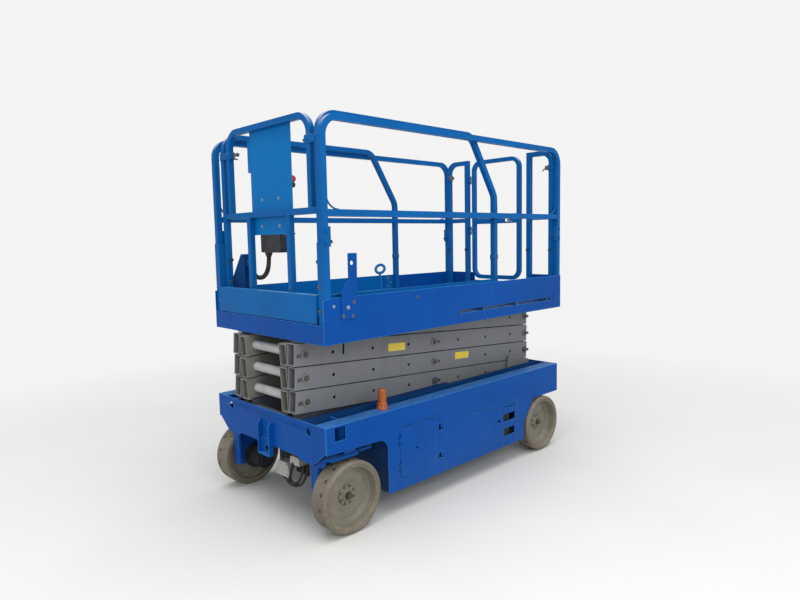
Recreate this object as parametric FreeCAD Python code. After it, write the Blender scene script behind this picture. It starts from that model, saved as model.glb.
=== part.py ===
import FreeCAD
import Part
import math
import os

# Electric slab scissor lift. +X towards the steered end, +Y to its left, +Z up.
# Origin on the floor under the middle of its length and width. Millimetres.

V = FreeCAD.Vector

# Fits and plate
PIN_FIT = 0.05
LOOSE = 0.3
CLEAR = 6.0
PLATE = 6.0

# Wheels
TYRE_R = 203.0
TYRE_W = 127.0
RIM_R = TYRE_R - 25.0
AXLE_R = 22.0

# Chassis lengths and heights
CH_FRONT = 1130.0
CH_REAR = -1101.0
CH_TOP = 2 * TYRE_R + 219.0
CH_LOW = 135.0
CH_TAIL_LOW = CH_TOP - 211.0
FLOOR_Z = CH_TOP - 200.0
BEAM_LOW = CH_TOP - 155.0
FRONT_OVERHANG = 169.0
REAR_OVERHANG = 212.0
FRONT_AXLE_X = CH_FRONT - FRONT_OVERHANG
REAR_AXLE_X = CH_REAR + REAR_OVERHANG
BULKHEAD_X = FRONT_AXLE_X - 293.0
REAR_BULKHEAD_X = REAR_AXLE_X + 224.0

# Scissor stack
STAGES = 4
ARM_H = 125.0
ARM_W = 66.0
ARM_WALL = 5.0
STAGE_H = ARM_H + 7.0
PIN_FRONT_X = CH_FRONT - 59.5
PIN_REAR_X = CH_REAR + 82.0
STACK_Z = CH_TOP - 41.0
TOP_PIN_Z = STACK_Z + STAGES * STAGE_H
SPAN = PIN_FRONT_X - PIN_REAR_X
ARM_L = math.hypot(SPAN, STAGE_H)
REST = math.atan2(STAGE_H, SPAN)
FRONT_OVER = 72.0
SHORT_OVER = 36.0
REAR_OVER = 30.0
PIN_R = 19.0
BOSS_R = PIN_R + 12.0
TUBE_R = 27.0
HEAD_R = PIN_R + 7.0
HEAD_T = 5.5
HEAD_GAP = 1.5
ROLLER_R = 33.5
ROLLER_W = 34.0
TRACK_T = 7.2
TRACK_REAR_X = -60.0
TRACK_FRONT_X = CH_FRONT - 18.0

# Widths, from the inner arms out to the tyres
ARM_GAP = 12.0
INNER_Y = 181.0
OUTER_Y = INNER_Y + ARM_W + ARM_GAP
OUT_FACE = OUTER_Y + ARM_W
TRACK_Y = OUT_FACE + ARM_GAP
ROLLER_Y = TRACK_Y + 4.0
TRACK_WEB_Y = ROLLER_Y + ROLLER_W + 5.0
INNER_WALL_Y = TRACK_WEB_Y + 8.0
COMPARTMENT_W = 182.0
SIDE_Y = INNER_WALL_Y + COMPARTMENT_W
LEDGE_Y = SIDE_Y - 100.0
TYRE_OUT_Y = SIDE_Y + 13.0
TYRE_IN_Y = TYRE_OUT_Y - TYRE_W

# Platform
DECK_Z = TOP_PIN_Z + 78.0
DECK_T = 6.0
DECK_TOP = DECK_Z + DECK_T
TREAD_T = 3.0
PLAT_FRONT = CH_FRONT - 8.0
PLAT_REAR = CH_REAR - 40.0
PLAT_Y = SIDE_Y
SKIRT_T = 4.0
SKIRT_LOW = DECK_Z - 130.0
SKIRT_TOP = DECK_Z + 115.0
RAIL = 35.0
HALF_RAIL = RAIL / 2
RAIL_H = 1070.0
RAIL_TOP = DECK_Z + RAIL_H
TOP_Z = RAIL_TOP - HALF_RAIL
MID_RAIL_Z = DECK_Z + 555.0
BEND_R = 100.0
MAIN_RAIL_Y = PLAT_Y - SKIRT_T - HALF_RAIL
EXT_RAIL_Y = MAIN_RAIL_Y - RAIL - 23.5
HOOP_Y = EXT_RAIL_Y - RAIL - 36.0
MAIN_FRONT_X = PLAT_FRONT - 35.0
EXT_POST_X = PLAT_FRONT - 65.0
EXT_LENGTH = 1555.0
EXT_REAR_X = PLAT_FRONT - EXT_LENGTH
MID_POST_X = EXT_REAR_X + HALF_RAIL
EXT_DECK_Z = DECK_TOP + CLEAR
EXT_TOP = EXT_DECK_Z + 6.0
EXT_TOE_TOP = DECK_Z + 130.0
HOOP_X = PLAT_REAR + 34.0
MAIN_REAR_X = PLAT_REAR + SKIRT_T + HALF_RAIL + 0.5
STANCHION_X = (PLAT_FRONT - 55.0, PLAT_FRONT - 12.0)
STANCHION_Y = (EXT_RAIL_Y + 19 + CLEAR, PLAT_Y - SKIRT_T)
STANCHION_LOW = DECK_Z - 25.0


def box(x0, x1, y0, y1, z0, z1):
    return Part.makeBox(x1 - x0, y1 - y0, z1 - z0, V(x0, y0, z0))


def cyl_x(x0, x1, y, z, r):
    return Part.makeCylinder(r, x1 - x0, V(x0, y, z), V(1, 0, 0))


def cyl_y(x, z, y0, y1, r):
    return Part.makeCylinder(r, y1 - y0, V(x, y0, z), V(0, 1, 0))


def cyl_z(x, y, z0, z1, r):
    return Part.makeCylinder(r, z1 - z0, V(x, y, z0), V(0, 0, 1))


def fuse(first, *others):
    if not others:
        return first
    return first.fuse(list(others)).removeSplitter()


def cut(first, *tools):
    return first.cut(list(tools))


def mirror(shape):
    return shape.mirror(V(0, 0, 0), V(0, 1, 0))


def both(shape):
    return fuse(shape, mirror(shape))


def outline(points):
    """Closed wire from (a, b) or (a, b, radius) corners, laid in the XY plane."""
    n = len(points)
    pts = [V(p[0], p[1], 0) for p in points]
    starts = []
    ends = []
    mids = []
    for i in range(n):
        r = points[i][2] if len(points[i]) > 2 else 0
        p = pts[i]
        if r <= 0:
            starts.append(p)
            ends.append(p)
            mids.append(None)
            continue
        a = (pts[i - 1] - p).normalize()
        b = (pts[(i + 1) % n] - p).normalize()
        half = a.getAngle(b) / 2
        t = r / math.tan(half)
        centre = p + (a + b).normalize() * (r / math.sin(half))
        starts.append(p + a * t)
        ends.append(p + b * t)
        mids.append(centre + (p - centre).normalize() * r)
    edges = []
    for i in range(n):
        if mids[i] is not None:
            edges.append(Part.Arc(starts[i], mids[i], ends[i]).toShape())
        j = (i + 1) % n
        if (starts[j] - ends[i]).Length > 1e-6:
            edges.append(Part.makeLine(ends[i], starts[j]))
    return Part.Wire(edges)


def plate_xy(points, z0, z1):
    face = Part.Face(outline(points))
    face.translate(V(0, 0, z0))
    return face.extrude(V(0, 0, z1 - z0))


def plate_xz(points, y0, y1):
    """Points are (x, z); the plate runs from y0 to y1."""
    face = Part.Face(outline(points))
    face.rotate(V(0, 0, 0), V(1, 0, 0), 90)
    face.translate(V(0, y0, 0))
    return face.extrude(V(0, y1 - y0, 0))


def plate_yz(points, x0, x1):
    """Points are (y, z); the plate runs from x0 to x1."""
    face = Part.Face(outline(points))
    face.rotate(V(0, 0, 0), V(1, 1, 1), 120)
    face.translate(V(x0, 0, 0))
    return face.extrude(V(x1 - x0, 0, 0))


def path_wire(points, radii):
    """Open wire through 3-D points with a bend of the given radius at each inner corner."""
    pts = [V(*p) for p in points]
    edges = []
    last = pts[0]
    for i in range(1, len(pts) - 1):
        p = pts[i]
        radius = radii[i - 1]
        a = (pts[i - 1] - p).normalize()
        b = (pts[i + 1] - p).normalize()
        half = a.getAngle(b) / 2
        t = radius / math.tan(half)
        centre = p + (a + b).normalize() * (radius / math.sin(half))
        s = p + a * t
        e = p + b * t
        m = centre + (p - centre).normalize() * radius
        if (s - last).Length > 1e-6:
            edges.append(Part.makeLine(last, s))
        edges.append(Part.Arc(s, m, e).toShape())
        last = e
    edges.append(Part.makeLine(last, pts[-1]))
    return Part.Wire(edges)


def bent_tube(points, radius, size, normal):
    """Square bar swept along a flat path; normal is the path plane's normal."""
    start = V(*points[0])
    along = (V(*points[1]) - start).normalize()
    side = V(*normal).normalize()
    up = along.cross(side)
    h = size / 2
    corners = []
    for a, b in ((-h, -h), (h, -h), (h, h), (-h, h)):
        corners.append(start + side * a + up * b)
    corners.append(corners[0])
    profile = Part.makePolygon(corners)
    wire = path_wire(points, [radius] * (len(points) - 2))
    return wire.makePipeShell([profile], True, False)


def hose(points, r):
    """Round bar along a free route; each bend is as wide as its shorter run allows."""
    pts = [V(*p) for p in points]
    radii = []
    for i in range(1, len(pts) - 1):
        a = pts[i - 1] - pts[i]
        b = pts[i + 1] - pts[i]
        turn = math.pi - a.getAngle(b)
        radii.append(0.45 * min(a.Length, b.Length) / math.tan(turn / 2))
    profile = Part.Wire([Part.makeCircle(r, pts[0], pts[1] - pts[0])])
    return path_wire(points, radii).makePipeShell([profile], True, False)


os.makedirs("parts", exist_ok=True)


def save(name, shape):
    shape.exportStep("parts/" + name + ".step")


# Wheels: a solid tyre pressed on a deeply dished rim
TYRE_EDGE = 12.0
DISH_DEPTH = 68.0
WEB_T = 10.0
LIP_R = RIM_R - 10.0
HUB_R = AXLE_R + 20.0
HUB_BORE = AXLE_R + PIN_FIT
RIM_OUT_Y = TYRE_OUT_Y - 4.0
AXLE_END_Y = RIM_OUT_Y - DISH_DEPTH + 10.0


def tyre(x):
    profile = [
        (RIM_R, TYRE_IN_Y + 3, 0),
        (RIM_R, TYRE_OUT_Y - 3, 0),
        (RIM_R + 6, TYRE_OUT_Y, 0),
        (TYRE_R, TYRE_OUT_Y, TYRE_EDGE),
        (TYRE_R, TYRE_IN_Y, TYRE_EDGE),
        (RIM_R + 6, TYRE_IN_Y, 0),
    ]
    face = Part.Face(outline(profile))
    ring = face.revolve(V(0, 0, 0), V(0, 1, 0), 360)
    ring.translate(V(x, 0, TYRE_R))
    return ring


def rim(x):
    in_y = TYRE_IN_Y + 4
    web_out = RIM_OUT_Y - DISH_DEPTH
    web_in = web_out - WEB_T
    hub_in = in_y - 2
    profile = [
        (HUB_BORE, hub_in),
        (HUB_R + 12, hub_in),
        (HUB_R + 12, web_in),
        (LIP_R - 30, web_in),
        (LIP_R, web_in - 16),
        (LIP_R, in_y),
        (RIM_R, in_y),
        (RIM_R, RIM_OUT_Y),
        (LIP_R + 3, RIM_OUT_Y),
        (LIP_R - 2, RIM_OUT_Y - 6),
        (LIP_R - 10, web_out + 22),
        (LIP_R - 30, web_out),
        (HUB_R + 14, web_out),
        (HUB_R + 10, web_out + 9),
        (HUB_R - 2, web_out + 9),
        (HUB_R - 10, web_out + 20),
        (0, web_out + 20),
        (0, web_out + 12),
        (HUB_BORE, web_out + 12),
    ]
    wire = Part.makePolygon([V(a, b, 0) for a, b in profile] + [V(profile[0][0], profile[0][1], 0)])
    solid = Part.Face(wire).revolve(V(0, 0, 0), V(0, 1, 0), 360)
    solid.translate(V(x, 0, TYRE_R))
    return solid


for end, x in (("front", FRONT_AXLE_X), ("rear", REAR_AXLE_X)):
    save("tyre_" + end + "_left", tyre(x))
    save("rim_" + end + "_left", rim(x))
    save("tyre_" + end + "_right", mirror(tyre(x)))
    save("rim_" + end + "_right", mirror(rim(x)))

# Chassis side plates with their top ledge, wheel arches and door openings
PANEL_IN = SIDE_Y - PLATE
DOOR_GAP = 4.0
HATCH_R = 28.0
HATCH_FRONT = BULKHEAD_X - 75.0
HATCH_W = 296.0
HATCH = (HATCH_FRONT - HATCH_W, HATCH_FRONT, CH_LOW + 65, CH_LOW + 370)
HATCH_KNUCKLES = (HATCH[2] + 58, HATCH[3] - 89)
KNUCKLE_H = 30.0
DOOR_FRONT_X = HATCH[0] - 90.0
DOOR_REAR_X = REAR_BULKHEAD_X + 92.0
DOOR_TOP_Z = CH_LOW + 312.0
HINGE_X = DOOR_FRONT_X + 15.0
HINGE_Y = PANEL_IN - 6.0
HINGE_END_X = HINGE_X + 36.0
LOW_EAR = (CH_LOW + 103, CH_LOW + 129)
HIGH_EAR = (DOOR_TOP_Z - 29, DOOR_TOP_Z - 3)

side_outline = [
    (CH_REAR, CH_TOP),
    (CH_REAR, CH_TAIL_LOW),
    (REAR_AXLE_X + 110, CH_TAIL_LOW),
    (REAR_BULKHEAD_X + 5, CH_LOW + 123),
    (REAR_BULKHEAD_X + 5, CH_LOW),
    (BULKHEAD_X + 21, CH_LOW),
    (BULKHEAD_X + 21, 2 * TYRE_R + 60, 68),
    (CH_FRONT, 2 * TYRE_R + 72),
    (CH_FRONT, CH_TOP),
]


def through_side(x0, x1, z0, z1):
    return box(x0, x1, SIDE_Y - 2 * PLATE, SIDE_Y + 1, z0, z1)


def side_panel(with_hatch):
    panel = plate_xz(side_outline, PANEL_IN, SIDE_Y)
    ledge = box(CH_REAR + PLATE, CH_FRONT - PLATE, LEDGE_Y, PANEL_IN, CH_TOP - PLATE, CH_TOP)
    lip = box(CH_REAR + PLATE, CH_FRONT - PLATE, LEDGE_Y, LEDGE_Y + PLATE, CH_TOP - 30, CH_TOP - PLATE)
    tools = [through_side(DOOR_REAR_X - DOOR_GAP, DOOR_FRONT_X + DOOR_GAP, CH_LOW - 5, DOOR_TOP_Z + DOOR_GAP),
             through_side(DOOR_FRONT_X, HINGE_END_X, HIGH_EAR[0] - CLEAR, DOOR_TOP_Z + DOOR_GAP),
             through_side(DOOR_FRONT_X, HINGE_END_X, LOW_EAR[0] - CLEAR, LOW_EAR[1] + CLEAR),
             through_side(CH_FRONT - 132, CH_FRONT - 59, CH_TOP - 85, CH_TOP - 11)]
    if with_hatch:
        x0, x1, z0, z1 = HATCH
        g = DOOR_GAP
        tools.append(plate_xz([(x0 - g, z0 - g, HATCH_R + g), (x1 + g, z0 - g, HATCH_R + g),
                               (x1 + g, z1 + g, HATCH_R + g), (x0 - g, z1 + g, HATCH_R + g)],
                              SIDE_Y - 2 * PLATE, SIDE_Y + 1))
        for z in HATCH_KNUCKLES:
            tools.append(through_side(x1, x1 + 9, z - 1, z + KNUCKLE_H + 1))
    return cut(fuse(panel, ledge, lip), *tools)


save("chassis_side_left", side_panel(True))
save("chassis_side_right", mirror(side_panel(False)))

# Front plate with its chamfered lower corners and tie-down holes
TIE_HOLE_R = 21.0
half_front = [(SIDE_Y - 260, CH_TOP - 210), (SIDE_Y - 240, CH_TOP - 227), (SIDE_Y - 137, CH_TOP - 229),
              (SIDE_Y - 92, CH_TOP - 205), (PANEL_IN, CH_TOP - 135), (PANEL_IN, CH_TOP)]
front = plate_yz(half_front + [(-y, z) for y, z in reversed(half_front)], CH_FRONT - PLATE, CH_FRONT)
for y in (SIDE_Y - 160, 160 - SIDE_Y):
    front = cut(front, cyl_x(CH_FRONT - 10, CH_FRONT + 5, y, CH_TOP - 50, TIE_HOLE_R))
for y in (SIDE_Y - 124, 124 - SIDE_Y):
    front = cut(front, cyl_x(CH_FRONT - 10, CH_FRONT + 5, y, CH_TOP - 48, 6))
save("chassis_front_plate", front)

# Towing and tie-down bracket, a U-shaped shoe on the front plate
TIE_Y = 60.0
TIE_OUT = 30.0
TIE_LOW = CH_TOP - 270.0
tie_side = [(CH_FRONT, CH_TOP - 65), (CH_FRONT + 12, CH_TOP - 65), (CH_FRONT + TIE_OUT, CH_TOP - 87),
            (CH_FRONT + TIE_OUT, TIE_LOW), (CH_FRONT, TIE_LOW)]
tie = fuse(plate_xz(tie_side, TIE_Y - PLATE, TIE_Y), plate_xz(tie_side, -TIE_Y, PLATE - TIE_Y),
           box(CH_FRONT, CH_FRONT + TIE_OUT, -TIE_Y, TIE_Y, TIE_LOW, TIE_LOW + PLATE),
           box(CH_FRONT, CH_FRONT + 5, -TIE_Y, TIE_Y, TIE_LOW, TIE_LOW + 95))
tie = cut(tie, cyl_x(CH_FRONT - 10, CH_FRONT + 10, 0, TIE_LOW + 35, TIE_HOLE_R - 3))
save("tie_down_bracket", tie)

# Rear plate
save("chassis_rear_plate", box(CH_REAR, CH_REAR + PLATE, -PANEL_IN, PANEL_IN, CH_TAIL_LOW, CH_TOP))

# Entry ladder on the rear plate
LADDER_Y = 200.0
LADDER_OUT = CH_REAR - 59.0
LADDER_LOW = 240.0
RUNG_H = 24.0
ladder_side = [(CH_REAR, CH_TOP - 25), (CH_REAR - 20, CH_TOP - 25), (LADDER_OUT, CH_TOP - 65, 10),
               (LADDER_OUT, LADDER_LOW, 10), (CH_REAR - 8, LADDER_LOW), (CH_REAR - 8, CH_TAIL_LOW + 10),
               (CH_REAR, CH_TAIL_LOW + 10)]
rungs = [box(LADDER_OUT + 4, CH_REAR - 12, -LADDER_Y, LADDER_Y, z, z + RUNG_H) for z in (LADDER_LOW + 12, LADDER_LOW + 230)]
ladder = fuse(plate_xz(ladder_side, LADDER_Y - PLATE, LADDER_Y), plate_xz(ladder_side, -LADDER_Y, PLATE - LADDER_Y), *rungs)
save("entry_ladder", ladder)


# Chassis beams: the webs that carry the roller tracks, with ribs out to the side plates
def track(z_mid, x0, x1):
    low = z_mid - ROLLER_R - LOOSE
    high = z_mid + ROLLER_R + LOOSE
    return (box(x0, x1, TRACK_Y, TRACK_WEB_Y, low - TRACK_T, low),
            box(x0, x1, TRACK_Y, TRACK_WEB_Y, high, high + TRACK_T))


web_outline = [(CH_REAR + PLATE, CH_TOP), (CH_REAR + PLATE, FLOOR_Z), (BULKHEAD_X, FLOOR_Z), (BULKHEAD_X, BEAM_LOW),
               (CH_FRONT - PLATE, BEAM_LOW), (CH_FRONT - PLATE, CH_TOP)]
web = plate_xz(web_outline, TRACK_WEB_Y, INNER_WALL_Y)
flanges = track(STACK_Z, TRACK_REAR_X, CH_FRONT - PLATE)
ribs = []
for x in (CH_REAR + 61, REAR_BULKHEAD_X + 25, -200, HINGE_END_X - 8, BULKHEAD_X - 28):
    ribs.append(box(x, x + PLATE, INNER_WALL_Y, PANEL_IN, CH_TOP - 95, CH_TOP - 30))
beam = fuse(web, flanges[0], flanges[1], *ribs)
save("chassis_beams", Part.makeCompound([beam, mirror(beam)]))

# Chassis pan: tunnel floor, compartment walls and bulkheads
wall_in = TRACK_WEB_Y - PLATE
pan = [box(CH_REAR + PLATE, BULKHEAD_X, -TRACK_WEB_Y, TRACK_WEB_Y, FLOOR_Z, FLOOR_Z + PLATE),
       box(BULKHEAD_X, BULKHEAD_X + PLATE, -PANEL_IN, PANEL_IN, CH_LOW, BEAM_LOW - 5)]
for sign in (1, -1):
    part = fuse(box(REAR_BULKHEAD_X, BULKHEAD_X, wall_in, TRACK_WEB_Y, CH_LOW, FLOOR_Z),
                box(REAR_BULKHEAD_X - PLATE, REAR_BULKHEAD_X, wall_in, PANEL_IN, CH_LOW, FLOOR_Z),
                box(HINGE_END_X, BULKHEAD_X, TRACK_WEB_Y, PANEL_IN, CH_LOW, CH_LOW + PLATE))
    pan.append(part if sign > 0 else mirror(part))
save("chassis_pan", fuse(pan[0], *pan[1:]))

# Fixed rear axle
HANGER_Y = 320.0
axle_end = TYRE_IN_Y - 26
hanger = [(REAR_AXLE_X - 90, FLOOR_Z), (REAR_AXLE_X - 50, TYRE_R - 50), (REAR_AXLE_X + 50, TYRE_R - 50),
          (REAR_AXLE_X + 110, FLOOR_Z)]
stub = fuse(cyl_y(REAR_AXLE_X, TYRE_R, axle_end - 10, AXLE_END_Y, AXLE_R),
            cyl_y(REAR_AXLE_X, TYRE_R, axle_end - 5, TYRE_IN_Y - 2, 62),
            plate_xz(hanger, HANGER_Y, HANGER_Y + 12))
axle = box(REAR_AXLE_X - 35, REAR_AXLE_X + 35, -axle_end, axle_end, TYRE_R - 35, TYRE_R + 35)
save("rear_axle", fuse(axle, stub, mirror(stub)))

# Rear pivot brackets of the lowest outer arms
px = PIN_REAR_X
floor = FLOOR_Z + PLATE
bracket_top = [(px - 37, floor + 19), (px - 37, CH_TOP + 15, 8), (px + 34, CH_TOP + 27), (px + 119, CH_TOP + 65, 10),
               (px + 229, CH_TOP + 77, 12), (px + 249, CH_TOP + 15), (px + 249, floor + 19)]
inner_lug = [(px - 39, floor), (px - 39, STACK_Z + 34, 30), (px + 39, STACK_Z + 34, 30), (px + 59, floor)]
pivot = fuse(plate_xz(bracket_top, OUT_FACE + CLEAR, OUT_FACE + CLEAR + 10),
             box(px - 37, px + 249, OUT_FACE + CLEAR, TRACK_WEB_Y, floor, floor + 39),
             plate_xz(inner_lug, OUTER_Y - CLEAR - 3, OUTER_Y - CLEAR + 3),
             cyl_y(px, STACK_Z, OUTER_Y - CLEAR - 3, OUT_FACE + CLEAR + 14, PIN_R))
save("rear_pivot_brackets", Part.makeCompound([pivot, mirror(pivot)]))

# Kingpins: the yokes hang from housings over the front wheels
KING_Y = TYRE_OUT_Y - 78.0
KING_R = 20.0
YOKE_Z = 2 * TYRE_R + 22.0
YOKE_T = 12.0
YOKE_TOP = YOKE_Z + YOKE_T
HOUSING_LOW = YOKE_TOP + 2 * CLEAR
HOUSING_R = KING_R + 26.0
AX = FRONT_AXLE_X
housing = fuse(cyl_z(AX, KING_Y, HOUSING_LOW, CH_TOP - PLATE, HOUSING_R),
               box(AX - 37, AX + 37, KING_Y - 37, SIDE_Y - 14, HOUSING_LOW, HOUSING_LOW + 42),
               box(AX - 60, AX + 60, INNER_WALL_Y, PANEL_IN, HOUSING_LOW + 36, HOUSING_LOW + 46),
               box(AX - 6, AX + 6, INNER_WALL_Y, PANEL_IN, HOUSING_LOW + 36, CH_TOP - PLATE))
housing = cut(housing, cyl_z(AX, KING_Y, HOUSING_LOW - 1, HOUSING_LOW + 93, KING_R + PIN_FIT),
              box(AX - 70, AX + 70, LEDGE_Y, LEDGE_Y + PLATE, CH_TOP - 30, CH_TOP))
save("kingpin_housings", Part.makeCompound([housing, mirror(housing)]))

# Beacon on the left ledge
BEACON_X = BULKHEAD_X - 2.0
BEACON_Y = LEDGE_Y + 30.0
BEACON_R = 26.0
beacon = fuse(cyl_z(BEACON_X, BEACON_Y, CH_TOP, CH_TOP + 14, BEACON_R + 8),
              cyl_z(BEACON_X, BEACON_Y, CH_TOP + 14, CH_TOP + 40, BEACON_R + 4),
              cyl_z(BEACON_X, BEACON_Y, CH_TOP + 40, CH_TOP + 118, BEACON_R))
top_edges = [e for e in beacon.Edges if e.BoundBox.ZMin > CH_TOP + 117]
save("beacon", beacon.makeFillet(8, top_edges))

# Steering yokes: top plate with its steering arm, inner plate, front gusset round the tyre, stub axle
STEER_ARM = 170.0
TIE_PIN_R = 10.0
YOKE_IN = TYRE_IN_Y - 20.0
YOKE_SIDE_T = 12.0
YOKE_FRONT = AX + 141.0
YOKE_LOW = TYRE_R - 25.0
TIE_X = AX - STEER_ARM
TIE_LOW_Z = YOKE_TOP + 2.0
yoke_top = [(YOKE_FRONT - 22, YOKE_IN), (YOKE_FRONT, YOKE_IN + 22), (YOKE_FRONT, SIDE_Y - 50, 10),
            (YOKE_FRONT - 20, SIDE_Y - 14, 12), (AX - 56, SIDE_Y - 14, 20), (AX - 89, SIDE_Y - 41, 10),
            (TIE_X - 22, KING_Y + 22, 20), (TIE_X - 22, KING_Y - 22, 20), (AX - 111, KING_Y - 22, 10), (AX - 81, YOKE_IN, 6)]
yoke_side = [(AX - 81, YOKE_Z + 2), (YOKE_FRONT, YOKE_Z + 2), (YOKE_FRONT, YOKE_LOW, 12), (AX + 79, TYRE_R - 43, 20),
             (AX - 41, TYRE_R - 73, 30), (AX - 81, TYRE_R - 13, 12)]
gusset = [(YOKE_IN - 50, YOKE_LOW, 6), (YOKE_IN + 10, YOKE_LOW), (YOKE_IN + 10, 2 * TYRE_R - 28, 16),
          (KING_Y, 2 * TYRE_R - 18, 20), (KING_Y + 15, YOKE_Z), (YOKE_IN + 5, YOKE_Z), (YOKE_IN + 5, CH_TOP - 237),
          (YOKE_IN - 50, CH_TOP - 237, 6)]
yoke = fuse(plate_xy(yoke_top, YOKE_Z, YOKE_TOP),
            plate_xz(yoke_side, YOKE_IN, YOKE_IN + YOKE_SIDE_T),
            plate_yz(gusset, YOKE_FRONT - 12, YOKE_FRONT),
            cyl_y(AX, TYRE_R, YOKE_IN + 4, AXLE_END_Y, AXLE_R),
            cyl_z(AX, KING_Y, YOKE_Z, HOUSING_LOW + 83, KING_R),
            cyl_z(AX, KING_Y, YOKE_Z, HOUSING_LOW - CLEAR, KING_R + 18),
            cyl_z(TIE_X, KING_Y, YOKE_Z, TIE_LOW_Z + 17, TIE_PIN_R))
save("steer_yoke_left", yoke)
save("steer_yoke_right", mirror(yoke))

# Drive motors on the yokes
MOTOR_R = 78.0
motor = fuse(cyl_y(AX, TYRE_R, YOKE_IN - 24, YOKE_IN, MOTOR_R), cyl_y(AX, TYRE_R, YOKE_IN - 136, YOKE_IN - 24, MOTOR_R - 18),
             cyl_y(AX, TYRE_R, YOKE_IN - 152, YOKE_IN - 136, MOTOR_R - 32),
             box(AX - 34, AX + 34, YOKE_IN - 116, YOKE_IN - 64, TYRE_R + 20, TYRE_R + 82))
save("drive_motor_left", motor)
save("drive_motor_right", mirror(motor))

# Tie rod between the steering arms
TIE_ROD_R = 7.0
TIE_BAR_Z = TIE_LOW_Z + 1.0 + TIE_ROD_R
eye = cyl_z(TIE_X, KING_Y, TIE_LOW_Z, TIE_LOW_Z + 16, TIE_PIN_R + 12)
rod = fuse(cyl_y(TIE_X, TIE_BAR_Z, 18 - KING_Y, KING_Y - 18, TIE_ROD_R), eye, mirror(eye))
rod = cut(rod, cyl_z(TIE_X, KING_Y, YOKE_Z, CH_TOP, TIE_PIN_R + PIN_FIT),
          cyl_z(TIE_X, -KING_Y, YOKE_Z, CH_TOP, TIE_PIN_R + LOOSE))
save("tie_rod", rod)

# Hatch over the small left compartment, on a front hinge
x0, x1, z0, z1 = HATCH
HATCH_PIN_X = x1 + 1.2
HATCH_PIN_R = 2.5
hatch = plate_xz([(x0, z0, HATCH_R), (x1, z0, HATCH_R), (x1, z1, HATCH_R), (x0, z1, HATCH_R)], PANEL_IN, SIDE_Y)
hatch = cut(hatch, cyl_y((x0 + x1) / 2 + 5, (z0 + z1) / 2, SIDE_Y - 10, SIDE_Y + 2, 9))
hatch_pins = []
for z in HATCH_KNUCKLES:
    knuckle = cyl_z(HATCH_PIN_X, SIDE_Y, z, z + KNUCKLE_H, 2 * HATCH_PIN_R)
    hatch = fuse(hatch, knuckle, box(x1 - 22, x1, SIDE_Y, SIDE_Y + 3, z, z + 30))
    hatch = cut(hatch, box(x1 - 9, x1 + 1, PANEL_IN - 1, SIDE_Y + 1, z - 15, z),
                box(x1 - 9, x1 + 1, PANEL_IN - 1, SIDE_Y + 1, z + 30, z + 45),
                cyl_z(HATCH_PIN_X, SIDE_Y, z - 1, z + 31, HATCH_PIN_R + PIN_FIT),
                cyl_z(HATCH_PIN_X, SIDE_Y, z - 10, z, HATCH_PIN_R + LOOSE),
                cyl_z(HATCH_PIN_X, SIDE_Y, z + 30, z + 40, HATCH_PIN_R + LOOSE))
    hatch_pins.append(fuse(cyl_z(HATCH_PIN_X, SIDE_Y, z - 9, z + 39, HATCH_PIN_R),
                           box(HATCH_PIN_X - 3, HATCH_PIN_X + 18, SIDE_Y, SIDE_Y + 4, z - 9, z - 1),
                           box(HATCH_PIN_X - 3, HATCH_PIN_X + 18, SIDE_Y, SIDE_Y + 4, z + 31, z + 39)))
save("access_hatch", hatch)

# Swing-out trays: the door and its tray are one welded piece
HINGE_PIN_R = 5.0
TRAY_X0 = DOOR_REAR_X + 57.0
TRAY_X1 = DOOR_FRONT_X - 21.0
TRAY_Y0 = INNER_WALL_Y + 14.0
TRAY_Z = CH_LOW + 2.0


def tray(vents):
    door = box(DOOR_REAR_X, DOOR_FRONT_X, PANEL_IN, SIDE_Y, TRAY_Z, DOOR_TOP_Z)
    for x0, x1, za, zb in vents:
        door = cut(door, through_side(DOOR_REAR_X + x0, DOOR_REAR_X + x1, CH_LOW + za, CH_LOW + zb))
    pieces = [box(TRAY_X0, TRAY_X1, TRAY_Y0, PANEL_IN, TRAY_Z, TRAY_Z + 5),
              box(TRAY_X0, TRAY_X1, TRAY_Y0, TRAY_Y0 + 4, TRAY_Z, TRAY_Z + 60),
              box(TRAY_X1 - 4, TRAY_X1, TRAY_Y0, PANEL_IN, TRAY_Z, TRAY_Z + 250)]
    for za, zb in (LOW_EAR, HIGH_EAR):
        pieces.append(box(DOOR_FRONT_X - 10, HINGE_X, PANEL_IN - 6, PANEL_IN, za, zb))
        pieces.append(cyl_z(HINGE_X, HINGE_Y, za, zb, HINGE_PIN_R + 3.5))
    return cut(fuse(door, *pieces), cyl_z(HINGE_X, HINGE_Y, CH_LOW + 90, DOOR_TOP_Z + 3, HINGE_PIN_R + PIN_FIT))


# Vents: from the door's rear edge, from-to, and above the chassis' low edge, from-to
UPPER_VENT = (25, 167, 179, 232)
LOWER_VENT = (31, 156, 74, 129)
SMALL_VENT = (195, 223, 183, 205)
TOP_SLOT = (25, 133, 275, 283)
save("control_tray", tray([UPPER_VENT, LOWER_VENT, SMALL_VENT, TOP_SLOT]))
save("battery_tray", mirror(tray([TOP_SLOT])))

# Hinge posts that carry the trays' pins
post_y = HINGE_Y - HINGE_PIN_R - 3
hinge_post = fuse(cyl_z(HINGE_X, HINGE_Y, LOW_EAR[0] - 12, HIGH_EAR[1] + 8, HINGE_PIN_R),
                  box(HINGE_X - 6, HINGE_END_X, post_y, PANEL_IN, LOW_EAR[1] + CLEAR, HIGH_EAR[0] - CLEAR - 4),
                  box(HINGE_X - 6, HINGE_END_X, post_y, PANEL_IN, LOW_EAR[0] - 12, LOW_EAR[0] - CLEAR),
                  box(HINGE_X - 6, HINGE_END_X, post_y, PANEL_IN, HIGH_EAR[1] + 4, HIGH_EAR[1] + 12))
save("hinge_posts", Part.makeCompound([hinge_post, mirror(hinge_post)] + hatch_pins))

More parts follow.
